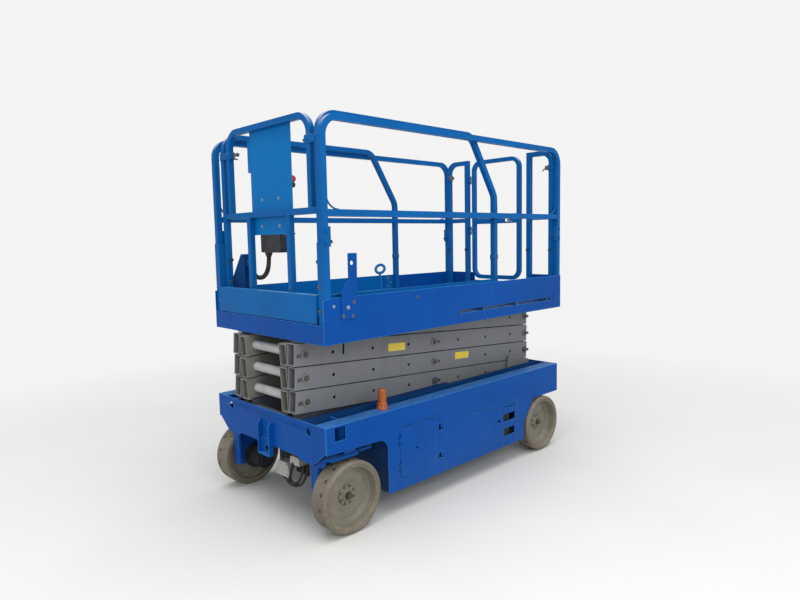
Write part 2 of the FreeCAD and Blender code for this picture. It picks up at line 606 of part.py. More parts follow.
# What the trays carry: pump unit and tank on the left, batteries on the right
Z_IN = TRAY_Z + 5.0
LOAD_Y0 = TRAY_Y0 + 10.0
LOAD_Y1 = PANEL_IN - 12.0
pump_x = TRAY_X1 - 16.0
modules = fuse(box(TRAY_X0 + 16, TRAY_X0 + 266, LOAD_Y0, LOAD_Y1, Z_IN, Z_IN + 258),
               box(TRAY_X0 + 266, pump_x - 170, LOAD_Y0, LOAD_Y1, Z_IN, Z_IN + 188))
pump_y = (LOAD_Y0 + LOAD_Y1) / 2
pump = fuse(cyl_x(pump_x - 160, pump_x, pump_y, Z_IN + 70, 62), box(pump_x - 160, pump_x, pump_y - 50, pump_y + 50, Z_IN, Z_IN + 30))
save("power_modules", Part.makeCompound([modules, pump]))
CELL_GAP = 10.0
cell = (pump_x - TRAY_X0 - 16 - CELL_GAP) / 2
cells = []
for x in (TRAY_X0 + 16, TRAY_X0 + 16 + cell + CELL_GAP):
    cells.append(mirror(box(x, x + cell, LOAD_Y0, LOAD_Y1, Z_IN, Z_IN + 268)))
save("batteries", Part.makeCompound(cells))


# Scissor arms
def arm(y0, pins, bores, holes, front_over, rear_over):
    """Rectangular tube along +X from the rear pin, y0 to y0 + ARM_W, open ends."""
    h = ARM_H / 2
    body = box(-rear_over, ARM_L + front_over, y0, y0 + ARM_W, -h, h)
    body = cut(body, box(-rear_over - 1, ARM_L + front_over + 1, y0 + ARM_WALL, y0 + ARM_W - ARM_WALL,
                         -h + ARM_WALL, h - ARM_WALL))
    bosses = [cyl_y(s, 0, y0 + 1, y0 + ARM_W - 1, BOSS_R) for s in bores + pins]
    body = fuse(body, *bosses)
    tools = [cyl_y(s, 0, y0 - 1, y0 + ARM_W + 1, PIN_R + PIN_FIT) for s in bores]
    for s in holes:
        tools.append(cyl_y(s, 0, y0 + ARM_W - ARM_WALL - 1, y0 + ARM_W + 1, 10))
    return cut(body, *tools) if tools else body


mid = ARM_L / 2
HOLE_S = [190.0, 495.0, 800.0, mid + 243, mid + 548, mid + 853]
half_turn = math.degrees(REST)


def place_outer(shape, k):
    shape = shape.copy()
    shape.rotate(V(0, 0, 0), V(0, 1, 0), -half_turn)
    shape.translate(V(PIN_REAR_X, 0, STACK_Z + (k - 1) * STAGE_H))
    return shape


def place_inner(shape, k):
    shape = shape.copy()
    shape.rotate(V(0, 0, 0), V(0, 1, 0), half_turn)
    shape.translate(V(PIN_REAR_X, 0, STACK_Z + k * STAGE_H))
    return shape


LIFT_LOW = 0.95
LIFT_HIGH = 0.15
BARREL_R = 45.0
ROD_R = 30.0
HEAD_Y = OUT_FACE + HEAD_GAP
roller_pin_end = ROLLER_Y + ROLLER_W

for k in range(1, STAGES + 1):
    # outer pair, from the rear pin low down to the front pin higher up
    bores = [0.0, mid] if k == STAGES else [0.0, mid, ARM_L]
    over = SHORT_OVER if k == STAGES else FRONT_OVER
    one = arm(OUTER_Y, [ARM_L] if k == STAGES else [], bores, HOLE_S, over, REAR_OVER)
    if k == STAGES:
        one = fuse(one, cyl_y(ARM_L, 0, OUTER_Y + 4, ROLLER_Y - 3, PIN_R + 6),
                   cyl_y(ARM_L, 0, OUTER_Y + 4, roller_pin_end, PIN_R))
    if k == STAGES - 1:
        one = cut(one, box(ARM_L - 277, ARM_L - 263, OUT_FACE - ARM_WALL - 1, OUT_FACE + 1, -20, 50))
    pair = Part.makeCompound([place_outer(one, k), mirror(place_outer(one, k))])
    save("outer_arms_" + str(k), pair)

    # inner pair, from the rear pin high up to the front pin lower down
    bores = [0.0] if k == STAGES else []
    pins = [mid, ARM_L] if k == STAGES else [0.0, mid, ARM_L]
    over = SHORT_OVER if k == 1 else FRONT_OVER
    one = arm(INNER_Y, pins, bores, [], over, REAR_OVER)
    extra = [cyl_y(mid, 0, INNER_Y + 3, HEAD_Y, PIN_R), cyl_y(mid, 0, HEAD_Y, HEAD_Y + HEAD_T, HEAD_R)]
    if k < STAGES:
        extra.append(cyl_y(0, 0, INNER_Y + 3, HEAD_Y, PIN_R))
        extra.append(cyl_y(0, 0, HEAD_Y, HEAD_Y + HEAD_T, HEAD_R))
    if k == 1:
        extra.append(cyl_y(ARM_L, 0, INNER_Y + 3, roller_pin_end, PIN_R))
        extra.append(cyl_y(ARM_L, 0, INNER_Y + ARM_W - 4, ROLLER_Y - 3, PIN_R + 6))
    else:
        extra.append(cyl_y(ARM_L, 0, INNER_Y + 3, HEAD_Y, PIN_R))
        extra.append(cyl_y(ARM_L, 0, HEAD_Y, HEAD_Y + HEAD_T, HEAD_R))
    one = fuse(one, *extra)
    reach = INNER_Y + 3
    cross = [cyl_y(ARM_L, 0, -reach, reach, TUBE_R)]
    if k < STAGES:
        cross.append(cyl_y(0, 0, -reach, reach, TUBE_R))
    if k == 1:
        cross.append(cyl_y((1 - LIFT_LOW) * ARM_L, 0, -reach, reach, PIN_R))
    if k == STAGES - 1:
        cross.append(cyl_y((1 - LIFT_HIGH) * ARM_L, 0, -reach, reach, PIN_R))
    frame = fuse(one, mirror(one), *cross)
    save("inner_arms_" + str(k), place_inner(frame, k))

# Rollers in the chassis and platform tracks
for name, z in (("lower_rollers", STACK_Z), ("upper_rollers", TOP_PIN_Z)):
    roller = cut(cyl_y(PIN_FRONT_X, z, ROLLER_Y, roller_pin_end, ROLLER_R),
                 cyl_y(PIN_FRONT_X, z, ROLLER_Y - 1, roller_pin_end + 1, PIN_R + PIN_FIT))
    save(name, Part.makeCompound([roller, mirror(roller)]))

# Lift cylinder between the lowest and the next to last inner pair
low_pin = V(PIN_REAR_X + (1 - LIFT_LOW) * SPAN, 0, STACK_Z + LIFT_LOW * STAGE_H)
high_pin = V(PIN_REAR_X + (1 - LIFT_HIGH) * SPAN, 0, STACK_Z + (STAGES - 2 + LIFT_HIGH) * STAGE_H)
closed = (high_pin - low_pin).Length
slope = math.degrees(math.atan2(high_pin.z - low_pin.z, high_pin.x - low_pin.x))
barrel_end = closed - 150.0

barrel = fuse(cyl_y(0, 0, -42, 42, PIN_R + 21), cyl_x(20, barrel_end, 0, 0, BARREL_R),
              cyl_x(barrel_end - 60, barrel_end, 0, 0, BARREL_R + 5))
barrel = cut(barrel, cyl_y(0, 0, -60, 60, PIN_R + PIN_FIT), cyl_x(70, barrel_end + 1, 0, 0, ROD_R + PIN_FIT))
rod = fuse(cyl_x(150, closed - 15, 0, 0, ROD_R), cyl_y(closed, 0, -36, 36, PIN_R + 19))
rod = cut(rod, cyl_y(closed, 0, -60, 60, PIN_R + LOOSE))
for name, shape in (("lift_cylinder_barrel", barrel), ("lift_cylinder_rod", rod)):
    shape.rotate(V(0, 0, 0), V(0, 1, 0), -slope)
    shape.translate(low_pin)
    save(name, shape)

# Platform deck with a raised tread on its fixed end, its roller tracks and rear pivot lugs
SKIRT_IN = PLAT_Y - SKIRT_T
corner = box(STANCHION_X[0], STANCHION_X[1], STANCHION_Y[0], STANCHION_Y[1], STANCHION_LOW, DECK_TOP)
deck = fuse(box(PLAT_REAR + SKIRT_T, PIN_FRONT_X + 30, -SKIRT_IN, SKIRT_IN, DECK_Z, DECK_TOP),
            box(HOOP_X + 45, EXT_REAR_X - 15, 30 - MAIN_RAIL_Y, MAIN_RAIL_Y - 30, DECK_TOP, DECK_TOP + TREAD_T))
deck = cut(deck, corner, mirror(corner))
flanges = track(TOP_PIN_Z, TRACK_REAR_X, TRACK_FRONT_X - 15)
lug_low = TOP_PIN_Z - PIN_R - 8
lug = [(px - 43, DECK_Z), (px - 37, lug_low, 18), (px + 37, lug_low, 18), (px + 69, DECK_Z)]
lug_in = INNER_Y - CLEAR
lug_out = INNER_Y + ARM_W + CLEAR
lugs = fuse(plate_xz(lug, lug_in - 12, lug_in), plate_xz(lug, lug_out - 3, lug_out + 3),
            cyl_y(px, TOP_PIN_Z, lug_in - 12, lug_out + 3, PIN_R))
track_beam = fuse(box(PLAT_REAR + SKIRT_T, TRACK_FRONT_X - 15, TRACK_WEB_Y, INNER_WALL_Y,
                      TOP_PIN_Z - ROLLER_R - LOOSE - TRACK_T, DECK_Z), flanges[0], flanges[1])
outriggers = []
for x in (HOOP_X + 130, HOOP_X + 530, -200, CH_FRONT - 880, CH_FRONT - 430, STANCHION_X[0] - 15):
    outriggers.append(box(x, x + 5, INNER_WALL_Y, SKIRT_IN, DECK_Z - 70, DECK_Z))
track_beam = fuse(track_beam, *outriggers)
save("platform_deck", Part.makeCompound([deck, track_beam, mirror(track_beam), lugs, mirror(lugs)]))

# Platform skirts and toe boards
skirt_side = [(PLAT_REAR, SKIRT_LOW), (PLAT_FRONT, SKIRT_LOW), (PLAT_FRONT, SKIRT_TOP - 13), (PLAT_FRONT - 50, SKIRT_TOP),
              (PLAT_REAR, SKIRT_TOP)]
skirt = plate_xz(skirt_side, SKIRT_IN, PLAT_Y)
skirt = cut(skirt, box(PLAT_REAR + 140, PLAT_REAR + 1185, PLAT_Y - 10, PLAT_Y + 1, SKIRT_LOW + 64, SKIRT_LOW + 85),
            cyl_y(PLAT_REAR + 114, SKIRT_LOW + 76, PLAT_Y - 10, PLAT_Y + 1, 6),
            cyl_y(PLAT_REAR + 70, SKIRT_LOW + 76, PLAT_Y - 10, PLAT_Y + 1, 6))
GATE_Y = 216.0
skirts = fuse(skirt, mirror(skirt),
              box(PLAT_FRONT - PLATE, PLAT_FRONT, -PLAT_Y, PLAT_Y, SKIRT_LOW, DECK_Z - 25),
              box(PLAT_REAR, PLAT_REAR + SKIRT_T, -PLAT_Y, PLAT_Y, SKIRT_LOW, DECK_Z + 50),
              box(PLAT_REAR, PLAT_REAR + SKIRT_T, GATE_Y + 84, PLAT_Y, DECK_Z + 50, SKIRT_TOP),
              box(PLAT_REAR, PLAT_REAR + SKIRT_T, -PLAT_Y, -GATE_Y - 46, DECK_Z + 50, SKIRT_TOP))
save("platform_skirts", skirts)

# Strip bracket on the left side
strip_x = PLAT_FRONT - 229.0
strip = plate_xz([(strip_x + 13, DECK_Z - 5), (strip_x + 111, DECK_Z - 5), (strip_x + 111, DECK_Z + 140),
                  (strip_x + 60, DECK_Z + 210), (strip_x + 60, DECK_Z + 344, 6), (strip_x, DECK_Z + 344, 6),
                  (strip_x + 4, DECK_Z + 130)], PLAT_Y, PLAT_Y + PLATE)
save("strip_bracket", cut(strip, cyl_y(strip_x + 36, DECK_Z + 292, PLAT_Y - 2, PLAT_Y + 10, 12)))

# Fold joints of the rails: a shoe round the foot of each post with its two cross pins
FOLD_Z = DECK_Z + 380.0
FOLD_H = 105.0


def fold_joint(x, y, side):
    """The shoe's closed back stands on the post's side given by side, along X."""
    back = x + side * HALF_RAIL
    lo = min(back, back + side * 14)
    shoe = box(lo - 4 if side > 0 else lo, lo + 14 if side > 0 else lo + 18, y - HALF_RAIL, y + HALF_RAIL, FOLD_Z, FOLD_Z + FOLD_H)
    pins = [cyl_y(x, FOLD_Z + dz, y - HALF_RAIL - 2, y + HALF_RAIL + 4, 9) for dz in (22, FOLD_H - 22)]
    bolt = cyl_y(lo + 7, FOLD_Z + FOLD_H / 2, y - HALF_RAIL - 2, y + HALF_RAIL + 4, 5)
    return [shoe, bolt] + pins


# Main side rails
def side_rail():
    y = MAIN_RAIL_Y
    top = TOP_Z - 10
    loop = bent_tube([(MAIN_FRONT_X, y, DECK_TOP), (MAIN_FRONT_X, y, top), (MAIN_REAR_X, y, top),
                      (MAIN_REAR_X, y, DECK_TOP)], BEND_R, RAIL, (0, 1, 0))
    mid_bar = box(MAIN_REAR_X, MAIN_FRONT_X, y - HALF_RAIL, y + HALF_RAIL, MID_RAIL_Z - HALF_RAIL, MID_RAIL_Z + HALF_RAIL)
    joints = fold_joint(MAIN_FRONT_X, y, -1) + fold_joint(MAIN_REAR_X, y, 1)
    return fuse(loop, mid_bar, *joints)


rail = side_rail()
save("side_rails", Part.makeCompound([rail, mirror(rail)]))

# Corner stanchions: channels through the deck's front corners, round the feet of the front posts
stanchion = cut(box(STANCHION_X[0], STANCHION_X[1], STANCHION_Y[0], STANCHION_Y[1], STANCHION_LOW, FOLD_Z + 22), rail)
save("corner_stanchions", Part.makeCompound([stanchion, mirror(stanchion)]))

# Rear hoops on both sides of the gate: square corner at the gate, bend at the outside
HOOP_IN_Y = GATE_Y + 95.0
HOOP_OUT_Y = MAIN_RAIL_Y - RAIL - 3.0
HOOP_BEND = 80.0
CLIP_Z = RAIL_TOP - 152.0
CLIP_H = 44.0


def rear_hoop():
    x = HOOP_X
    low = CLIP_Z - 16
    loop = bent_tube([(x, HOOP_IN_Y - HALF_RAIL, TOP_Z - 14), (x, HOOP_OUT_Y, TOP_Z - 14), (x, HOOP_OUT_Y, DECK_TOP)],
                     HOOP_BEND, RAIL, (1, 0, 0))
    post = box(x - HALF_RAIL, x + HALF_RAIL, HOOP_IN_Y - HALF_RAIL, HOOP_IN_Y + HALF_RAIL, DECK_TOP, TOP_Z - 14)
    bar = box(x - HALF_RAIL, x + HALF_RAIL, HOOP_IN_Y, HOOP_OUT_Y, MID_RAIL_Z - HALF_RAIL, MID_RAIL_Z + HALF_RAIL)
    clip = fuse(box(x + HALF_RAIL, x + HALF_RAIL + 4, HOOP_OUT_Y - HALF_RAIL - 2, HOOP_OUT_Y + HALF_RAIL + 2.7, low, low + CLIP_H),
                box(x - HALF_RAIL - 4, x - HALF_RAIL, HOOP_OUT_Y - HALF_RAIL - 2, HOOP_OUT_Y + HALF_RAIL + 2.7, low, low + CLIP_H),
                box(x - HALF_RAIL - 4, x + HALF_RAIL + 4, HOOP_OUT_Y - HALF_RAIL - 4, HOOP_OUT_Y - HALF_RAIL, low, low + CLIP_H))
    feet = []
    for y in (HOOP_IN_Y, HOOP_OUT_Y):
        feet.append(box(x + HALF_RAIL - 3, x + HALF_RAIL + 9, y - 10, y + 10, FOLD_Z - 60, FOLD_Z + 10))
        feet.append(cyl_y(x, FOLD_Z - 15, y - HALF_RAIL - 2, y + HALF_RAIL + 2, 8))
    return fuse(loop, post, bar, clip, *feet)


# Entry gate, hinged on the right-hand hoop, swings inwards
GATE = 32.0
GATE_HINGE_Y = 31.0 - HOOP_IN_Y
GATE_REAR_Y = GATE_HINGE_Y + 44.0
g = GATE / 2
gate_top = RAIL_TOP - 24 - g
gate_low = DECK_Z + 66 + g
gate = bent_tube([(HOOP_X, GATE_REAR_Y, gate_low + 128), (HOOP_X, GATE_REAR_Y, gate_top), (HOOP_X, GATE_Y, gate_top),
                  (HOOP_X, GATE_Y, gate_low), (HOOP_X, GATE_REAR_Y, gate_low), (HOOP_X, GATE_REAR_Y, gate_low + 126)],
                 70, GATE, (1, 0, 0))
gate = fuse(gate, box(HOOP_X - g, HOOP_X + g, GATE_REAR_Y - g, GATE_REAR_Y + g, gate_low + 118, gate_low + 138),
            box(HOOP_X - g, HOOP_X + g, GATE_REAR_Y, GATE_Y, MID_RAIL_Z - 33, MID_RAIL_Z + 43))
gate_hinges = (MID_RAIL_Z - 105, RAIL_TOP - 198)
GATE_PIN_R = 6.0
ears = []
for z in gate_hinges:
    ears.append(box(HOOP_X - 5, HOOP_X + 5, GATE_HINGE_Y, GATE_REAR_Y, z, z + 36))
    ears.append(cyl_z(HOOP_X, GATE_HINGE_Y, z, z + 36, GATE_PIN_R + 5))
gate = fuse(gate, *ears)
for z in gate_hinges:
    gate = cut(gate, cyl_z(HOOP_X, GATE_HINGE_Y, z - 1, z + 37, GATE_PIN_R + PIN_FIT))
gate = cut(gate, box(HOOP_X - 30, HOOP_X + 30, GATE_Y - 146, GATE_Y - 84, MID_RAIL_Z - 19, MID_RAIL_Z + 21))
save("entry_gate", gate)
pins = []
hoop_face = HALF_RAIL - HOOP_IN_Y
for z in gate_hinges:
    pins.append(cyl_z(HOOP_X, GATE_HINGE_Y, z - 14, z + 50, GATE_PIN_R))
    pins.append(box(HOOP_X - 7, HOOP_X + 7, hoop_face, GATE_HINGE_Y + 7, z - 14, z - 1))
    pins.append(box(HOOP_X - 7, HOOP_X + 7, hoop_face, GATE_HINGE_Y + 7, z + 37, z + 50))
save("rear_hoops", Part.makeCompound([rear_hoop(), fuse(mirror(rear_hoop()), *pins)]))

# Sliding deck extension with its toe boards and a lanyard ring
EXT_IN = EXT_RAIL_Y + 13.0
EXT_OUT = EXT_IN + 6.0
TOE_X = PLAT_FRONT - PLATE
toe_top = EXT_TOE_TOP - 3
flange_x = EXT_POST_X + HALF_RAIL
ext = fuse(box(EXT_REAR_X, TOE_X, -EXT_IN - 6, EXT_IN + 6, EXT_DECK_Z, EXT_TOP),
           box(EXT_REAR_X, TOE_X, EXT_IN, EXT_IN + 6, EXT_DECK_Z, toe_top),
           box(EXT_REAR_X, TOE_X, -EXT_IN - 6, -EXT_IN, EXT_DECK_Z, toe_top),
           box(TOE_X, PLAT_FRONT, -EXT_OUT, EXT_OUT, DECK_Z - 20, EXT_TOE_TOP),
           box(flange_x, TOE_X, -EXT_IN, EXT_IN, EXT_TOE_TOP - 4, EXT_TOE_TOP))
pad_z = DECK_TOP + LOOSE
for x0, x1 in ((EXT_REAR_X, EXT_REAR_X + 100), (PLAT_FRONT - 225, PLAT_FRONT - 125)):
    for sign in (1, -1):
        pad = box(x0, x1, EXT_IN - 80, EXT_IN - 40, pad_z, EXT_DECK_Z)
        ext = fuse(ext, pad if sign > 0 else mirror(pad))
RING_X = PLAT_FRONT - 484.0
RING_R = 26.0
ring = Part.makeTorus(RING_R, 8, V(RING_X, EXT_IN - 25, toe_top + 117), V(0.75, 0.45, 0.5))
stem = V(RING_X + 11, EXT_IN - 3, toe_top - 2)
rise = V(RING_X + 11, EXT_IN - 18, toe_top + 95) - stem
ring = fuse(ring, Part.makeCylinder(6.5, rise.Length, stem, rise))
save("extension_deck", fuse(ext, ring))


# Extension side rails
def ext_rail():
    y = EXT_RAIL_Y
    top = TOP_Z + 17
    loop = bent_tube([(EXT_POST_X, y, EXT_TOP), (EXT_POST_X, y, top), (MID_POST_X + 243, y, top),
                      (MID_POST_X, y, RAIL_TOP - 380), (MID_POST_X, y, EXT_TOP)], BEND_R, RAIL, (0, 1, 0))
    bar = box(MID_POST_X, EXT_POST_X, y - HALF_RAIL, y + HALF_RAIL, MID_RAIL_Z - HALF_RAIL, MID_RAIL_Z + HALF_RAIL)
    sleeve = box(MID_POST_X - HALF_RAIL - 4, MID_POST_X + HALF_RAIL + 4, y - HALF_RAIL - 2.5, y + HALF_RAIL + 2.5,
                 DECK_Z + 262, DECK_Z + 292)
    toe = box(EXT_REAR_X - 5, TOE_X + 1, EXT_IN, EXT_IN + 7, EXT_DECK_Z, toe_top)
    return cut(fuse(loop, bar, sleeve), toe)


save("extension_rails", Part.makeCompound([ext_rail(), mirror(ext_rail())]))

# Front hoop rail with mid rail and two posts
EX = EXT_POST_X
EXT_FRONT = EX + HALF_RAIL
POST_Y = 207.0
FRONT_MID = MID_RAIL_Z - 2.0
HOOP_TOP = TOP_Z + 20.0
rail_in = EXT_RAIL_Y - HALF_RAIL
post_in = POST_Y - HALF_RAIL
post_out = POST_Y + HALF_RAIL
hoop = bent_tube([(EX, HOOP_Y, FRONT_MID), (EX, HOOP_Y, HOOP_TOP), (EX, -HOOP_Y, HOOP_TOP), (EX, -HOOP_Y, FRONT_MID)],
                 BEND_R, RAIL, (1, 0, 0))
hoop = fuse(hoop, box(EX - HALF_RAIL, EX + HALF_RAIL, -rail_in, rail_in, FRONT_MID, FRONT_MID + RAIL),
            box(EX - HALF_RAIL, EX + HALF_RAIL, post_in, post_out, EXT_TOP, FRONT_MID),
            box(EX - HALF_RAIL, EX + HALF_RAIL, -post_out, -post_in, EXT_TOP, FRONT_MID))

# Corner clips that pin the front hoop to the extension side rails
clip_in = HOOP_Y - HALF_RAIL - 12
clip_out = EXT_RAIL_Y + HALF_RAIL
clip = fuse(box(EXT_FRONT, EXT_FRONT + 4, clip_in + 2, clip_out, CLIP_Z, CLIP_Z + CLIP_H),
            box(EX - HALF_RAIL - 4, EX - HALF_RAIL, clip_in + 2, clip_out, CLIP_Z, CLIP_Z + CLIP_H),
            box(EX - HALF_RAIL - 4, EXT_FRONT + 4, clip_in, clip_in + 4, CLIP_Z, CLIP_Z + CLIP_H))
save("front_rail", fuse(hoop, clip, mirror(clip)))

# Panel on the back of the hoop, with its lower edge folded inwards
PANEL_Y = post_out - 12.0
PANEL_LOW = FRONT_MID - 102.0
panel_x = EX - HALF_RAIL - 4
panel = fuse(box(panel_x, panel_x + 4, -PANEL_Y, PANEL_Y, PANEL_LOW, RAIL_TOP - 2),
             box(panel_x - 14, panel_x, -PANEL_Y, PANEL_Y, PANEL_LOW, PANEL_LOW + 4))
save("front_panels", panel)

# Platform control box on the panel, with its shield and stop button
BOX_Y = (-PANEL_Y, 62.0)
BOX_LOW = RAIL_TOP - 330.0
BOX_D = 88.0
cb = plate_xz([(panel_x - BOX_D, BOX_LOW), (panel_x, BOX_LOW), (panel_x, RAIL_TOP - 55), (panel_x - 50, RAIL_TOP - 55),
               (panel_x - BOX_D - 10, RAIL_TOP - 110, 10)], *BOX_Y)
cb = fuse(cb, box(panel_x - 24, panel_x - 4, BOX_Y[0] - 42, BOX_Y[0], RAIL_TOP - 245, RAIL_TOP - 60))
save("control_box", cb)
stop_x = panel_x - 88
stop = fuse(box(stop_x - 20, stop_x + 20, BOX_Y[1], BOX_Y[1] + 12, BOX_LOW - 12, BOX_LOW + 50),
            cyl_y(stop_x, BOX_LOW + 28, BOX_Y[1] + 12, BOX_Y[1] + 22, 14),
            cyl_y(stop_x, BOX_LOW + 28, BOX_Y[1] + 22, BOX_Y[1] + 34, 17))
save("stop_button", stop)

# Junction box, its conduit and the bracket it runs to
CABLE_X = EX - 55.0
JB_LOW = FRONT_MID - 206.0
JB_H = PANEL_LOW - JB_LOW
jb = plate_yz([(-136, JB_LOW, 12), (70, JB_LOW, 12), (70, JB_LOW + JB_H), (-136, JB_LOW + JB_H)], panel_x - 84, panel_x)
save("junction_box", jb)
CONDUIT_R = 14.0
gland = (CABLE_X, -331.0, JB_LOW - 84.0)
route = [(CABLE_X, -108, JB_LOW), (CABLE_X, -108, JB_LOW - 85), (CABLE_X, -165, JB_LOW - 150), (CABLE_X, -250, JB_LOW - 158),
         (CABLE_X, -298, JB_LOW - 120), gland]
save("conduit", hose(route, CONDUIT_R))
tri = plate_yz([(0.3 - EXT_IN, EXT_TOP), (-345, EXT_TOP), (-345, JB_LOW - 11, 8), (-384, JB_LOW - 11, 10),
                (0.3 - EXT_IN, JB_LOW - 173)], CABLE_X - 30, CABLE_X + 30)
run = V(*gland) - V(*route[-2])
run.normalize()
socket = V(*gland) + run * LOOSE
collar = Part.makeCylinder(CONDUIT_R + 7, 40, socket, run)
save("cable_bracket", fuse(tri, collar))
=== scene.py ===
import bmesh
import bpy
import math
import random
from mathutils import Matrix, Vector


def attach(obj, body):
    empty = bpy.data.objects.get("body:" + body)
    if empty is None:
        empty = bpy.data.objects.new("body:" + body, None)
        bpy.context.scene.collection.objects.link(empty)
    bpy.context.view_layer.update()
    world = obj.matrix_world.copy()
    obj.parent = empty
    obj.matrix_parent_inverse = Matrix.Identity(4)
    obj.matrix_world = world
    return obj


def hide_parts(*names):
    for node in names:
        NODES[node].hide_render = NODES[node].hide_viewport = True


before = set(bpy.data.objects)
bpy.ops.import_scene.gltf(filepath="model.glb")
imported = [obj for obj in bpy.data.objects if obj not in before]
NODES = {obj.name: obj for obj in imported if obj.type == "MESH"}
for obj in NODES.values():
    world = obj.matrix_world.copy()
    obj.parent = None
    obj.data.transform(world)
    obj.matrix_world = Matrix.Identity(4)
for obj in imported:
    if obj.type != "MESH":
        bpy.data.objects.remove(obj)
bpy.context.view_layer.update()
rng = random.Random(7)
COL = bpy.context.scene.collection

# Camera at the photo's place
YAW, PITCH, ROLL = (math.radians(a) for a in (-134.14917, -5.72070, -1.09568))
fwd = Vector((math.cos(PITCH) * math.cos(YAW), math.cos(PITCH) * math.sin(YAW), math.sin(PITCH)))
right = fwd.cross(Vector((0, 0, 1))).normalized()
up = right.cross(fwd)
r2 = right * math.cos(ROLL) + up * math.sin(ROLL)
u2 = up * math.cos(ROLL) - right * math.sin(ROLL)
cam_data = bpy.data.cameras.new("camera")
cam_data.sensor_width = 36.0
cam_data.sensor_fit = "HORIZONTAL"
cam_data.lens = 616.237 / 800 * 36.0
cam_data.clip_end = 200
cam = bpy.data.objects.new("camera", cam_data)
COL.objects.link(cam)
cam.matrix_world = Matrix((
    (r2.x, u2.x, -fwd.x, 3.01926),
    (r2.y, u2.y, -fwd.y, 3.08934),
    (r2.z, u2.z, -fwd.z, 1.60644),
    (0, 0, 0, 1)))
bpy.context.scene.camera = cam
bpy.context.scene.view_settings.view_transform = "Standard"

# Light: a pale room with soft panels overhead
world = bpy.data.worlds.new("studio")
bpy.context.scene.world = world
world.use_nodes = True
wn = world.node_tree.nodes
wl = world.node_tree.links
wn.clear()
w_out = wn.new("ShaderNodeOutputWorld")
w_mix = wn.new("ShaderNodeMixShader")
w_light = wn.new("ShaderNodeBackground")
w_back = wn.new("ShaderNodeBackground")
w_path = wn.new("ShaderNodeLightPath")
w_light.inputs["Color"].default_value = (0.93, 0.96, 1.0, 1)
w_light.inputs["Strength"].default_value = 0.62
w_back.inputs["Color"].default_value = (0.90, 0.90, 0.895, 1)
w_back.inputs["Strength"].default_value = 1.0
wl.new(w_path.outputs["Is Camera Ray"], w_mix.inputs[0])
wl.new(w_light.outputs[0], w_mix.inputs[1])
wl.new(w_back.outputs[0], w_mix.inputs[2])
wl.new(w_mix.outputs[0], w_out.inputs["Surface"])


def area(name, place, target, size, watts, tint=(1, 1, 1)):
    data = bpy.data.lights.new(name, "AREA")
    data.shape = "RECTANGLE"
    data.size = size[0]
    data.size_y = size[1]
    data.energy = watts
    data.color = tint
    lamp = bpy.data.objects.new(name, data)
    lamp.location = place
    lamp.rotation_euler = (Vector(target) - Vector(place)).to_track_quat("-Z", "Y").to_euler()
    COL.objects.link(lamp)


area("overhead", (1.1, 1.6, 16.0), (0, 0, 0.8), (16.6, 13.8), 2600, (1.0, 0.99, 0.97))
area("side_panel", (1.6, 5.6, 3.2), (0, 0, 0.9), (5.0, 3.0), 190, (0.97, 0.99, 1.0))
area("front_panel", (5.6, 0.8, 2.6), (0, 0, 1.0), (3.5, 2.5), 60)


# Node helpers
class Tree:
    def __init__(self, name, slot=None):
        self.mat = bpy.data.materials.new(name)
        self.mat.use_nodes = True
        self.t = self.mat.node_tree
        self.t.nodes.clear()
        self.out = self.t.nodes.new("ShaderNodeOutputMaterial")
        self.bsdf = self.t.nodes.new("ShaderNodeBsdfPrincipled")
        self.t.links.new(self.bsdf.outputs[0], self.out.inputs["Surface"])
        self.coord = self.t.nodes.new("ShaderNodeTexCoord").outputs["Object"]
        self.geo = self.t.nodes.new("ShaderNodeNewGeometry")

    def link(self, a, b):
        self.t.links.new(a, b)

    def scaled(self, x, y, z):
        m = self.t.nodes.new("ShaderNodeMapping")
        m.inputs["Scale"].default_value = (x, y, z)
        self.link(self.coord, m.inputs["Vector"])
        return m.outputs[0]

    def noise(self, scale, detail=3, rough=0.55, vector=None, distortion=0.0):
        n = self.t.nodes.new("ShaderNodeTexNoise")
        n.inputs["Scale"].default_value = scale
        n.inputs["Detail"].default_value = detail
        n.inputs["Roughness"].default_value = rough
        n.inputs["Distortion"].default_value = distortion
        self.link(vector or self.coord, n.inputs["Vector"])
        return n.outputs["Fac"]

    def ramp(self, fac, *stops):
        r = self.t.nodes.new("ShaderNodeMapRange")
        r.inputs["From Min"].default_value = stops[0]
        r.inputs["From Max"].default_value = stops[1]
        r.inputs["To Min"].default_value = stops[2]
        r.inputs["To Max"].default_value = stops[3]
        self.link(fac, r.inputs["Value"])
        return r.outputs["Result"]

    def math(self, op, a, b):
        m = self.t.nodes.new("ShaderNodeMath")
        m.operation = op
        for i, v in enumerate((a, b)):
            if isinstance(v, (int, float)):
                m.inputs[i].default_value = v
            else:
                self.link(v, m.inputs[i])
        return m.outputs[0]

    def mix(self, fac, a, b):
        m = self.t.nodes.new("ShaderNodeMix")
        m.data_type = "RGBA"
        for i, v in ((0, fac), (6, a), (7, b)):
            if isinstance(v, (int, float)):
                m.inputs[i].default_value = v
            elif isinstance(v, tuple):
                m.inputs[i].default_value = (v[0], v[1], v[2], 1)
            else:
                self.link(v, m.inputs[i])
        return m.outputs[2]

    def upward(self, low, high):
        s = self.t.nodes.new("ShaderNodeSeparateXYZ")
        self.link(self.geo.outputs["Normal"], s.inputs[0])
        return self.ramp(s.outputs["Z"], low, high, 0, 1)

    def axis(self, name):
        s = self.t.nodes.new("ShaderNodeSeparateXYZ")
        self.link(self.coord, s.inputs[0])
        return s.outputs[name]

    def bump(self, height, strength, distance=0.002):
        b = self.t.nodes.new("ShaderNodeBump")
        b.inputs["Strength"].default_value = strength
        b.inputs["Distance"].default_value = distance
        self.link(height, b.inputs["Height"])
        self.link(b.outputs[0], self.bsdf.inputs["Normal"])


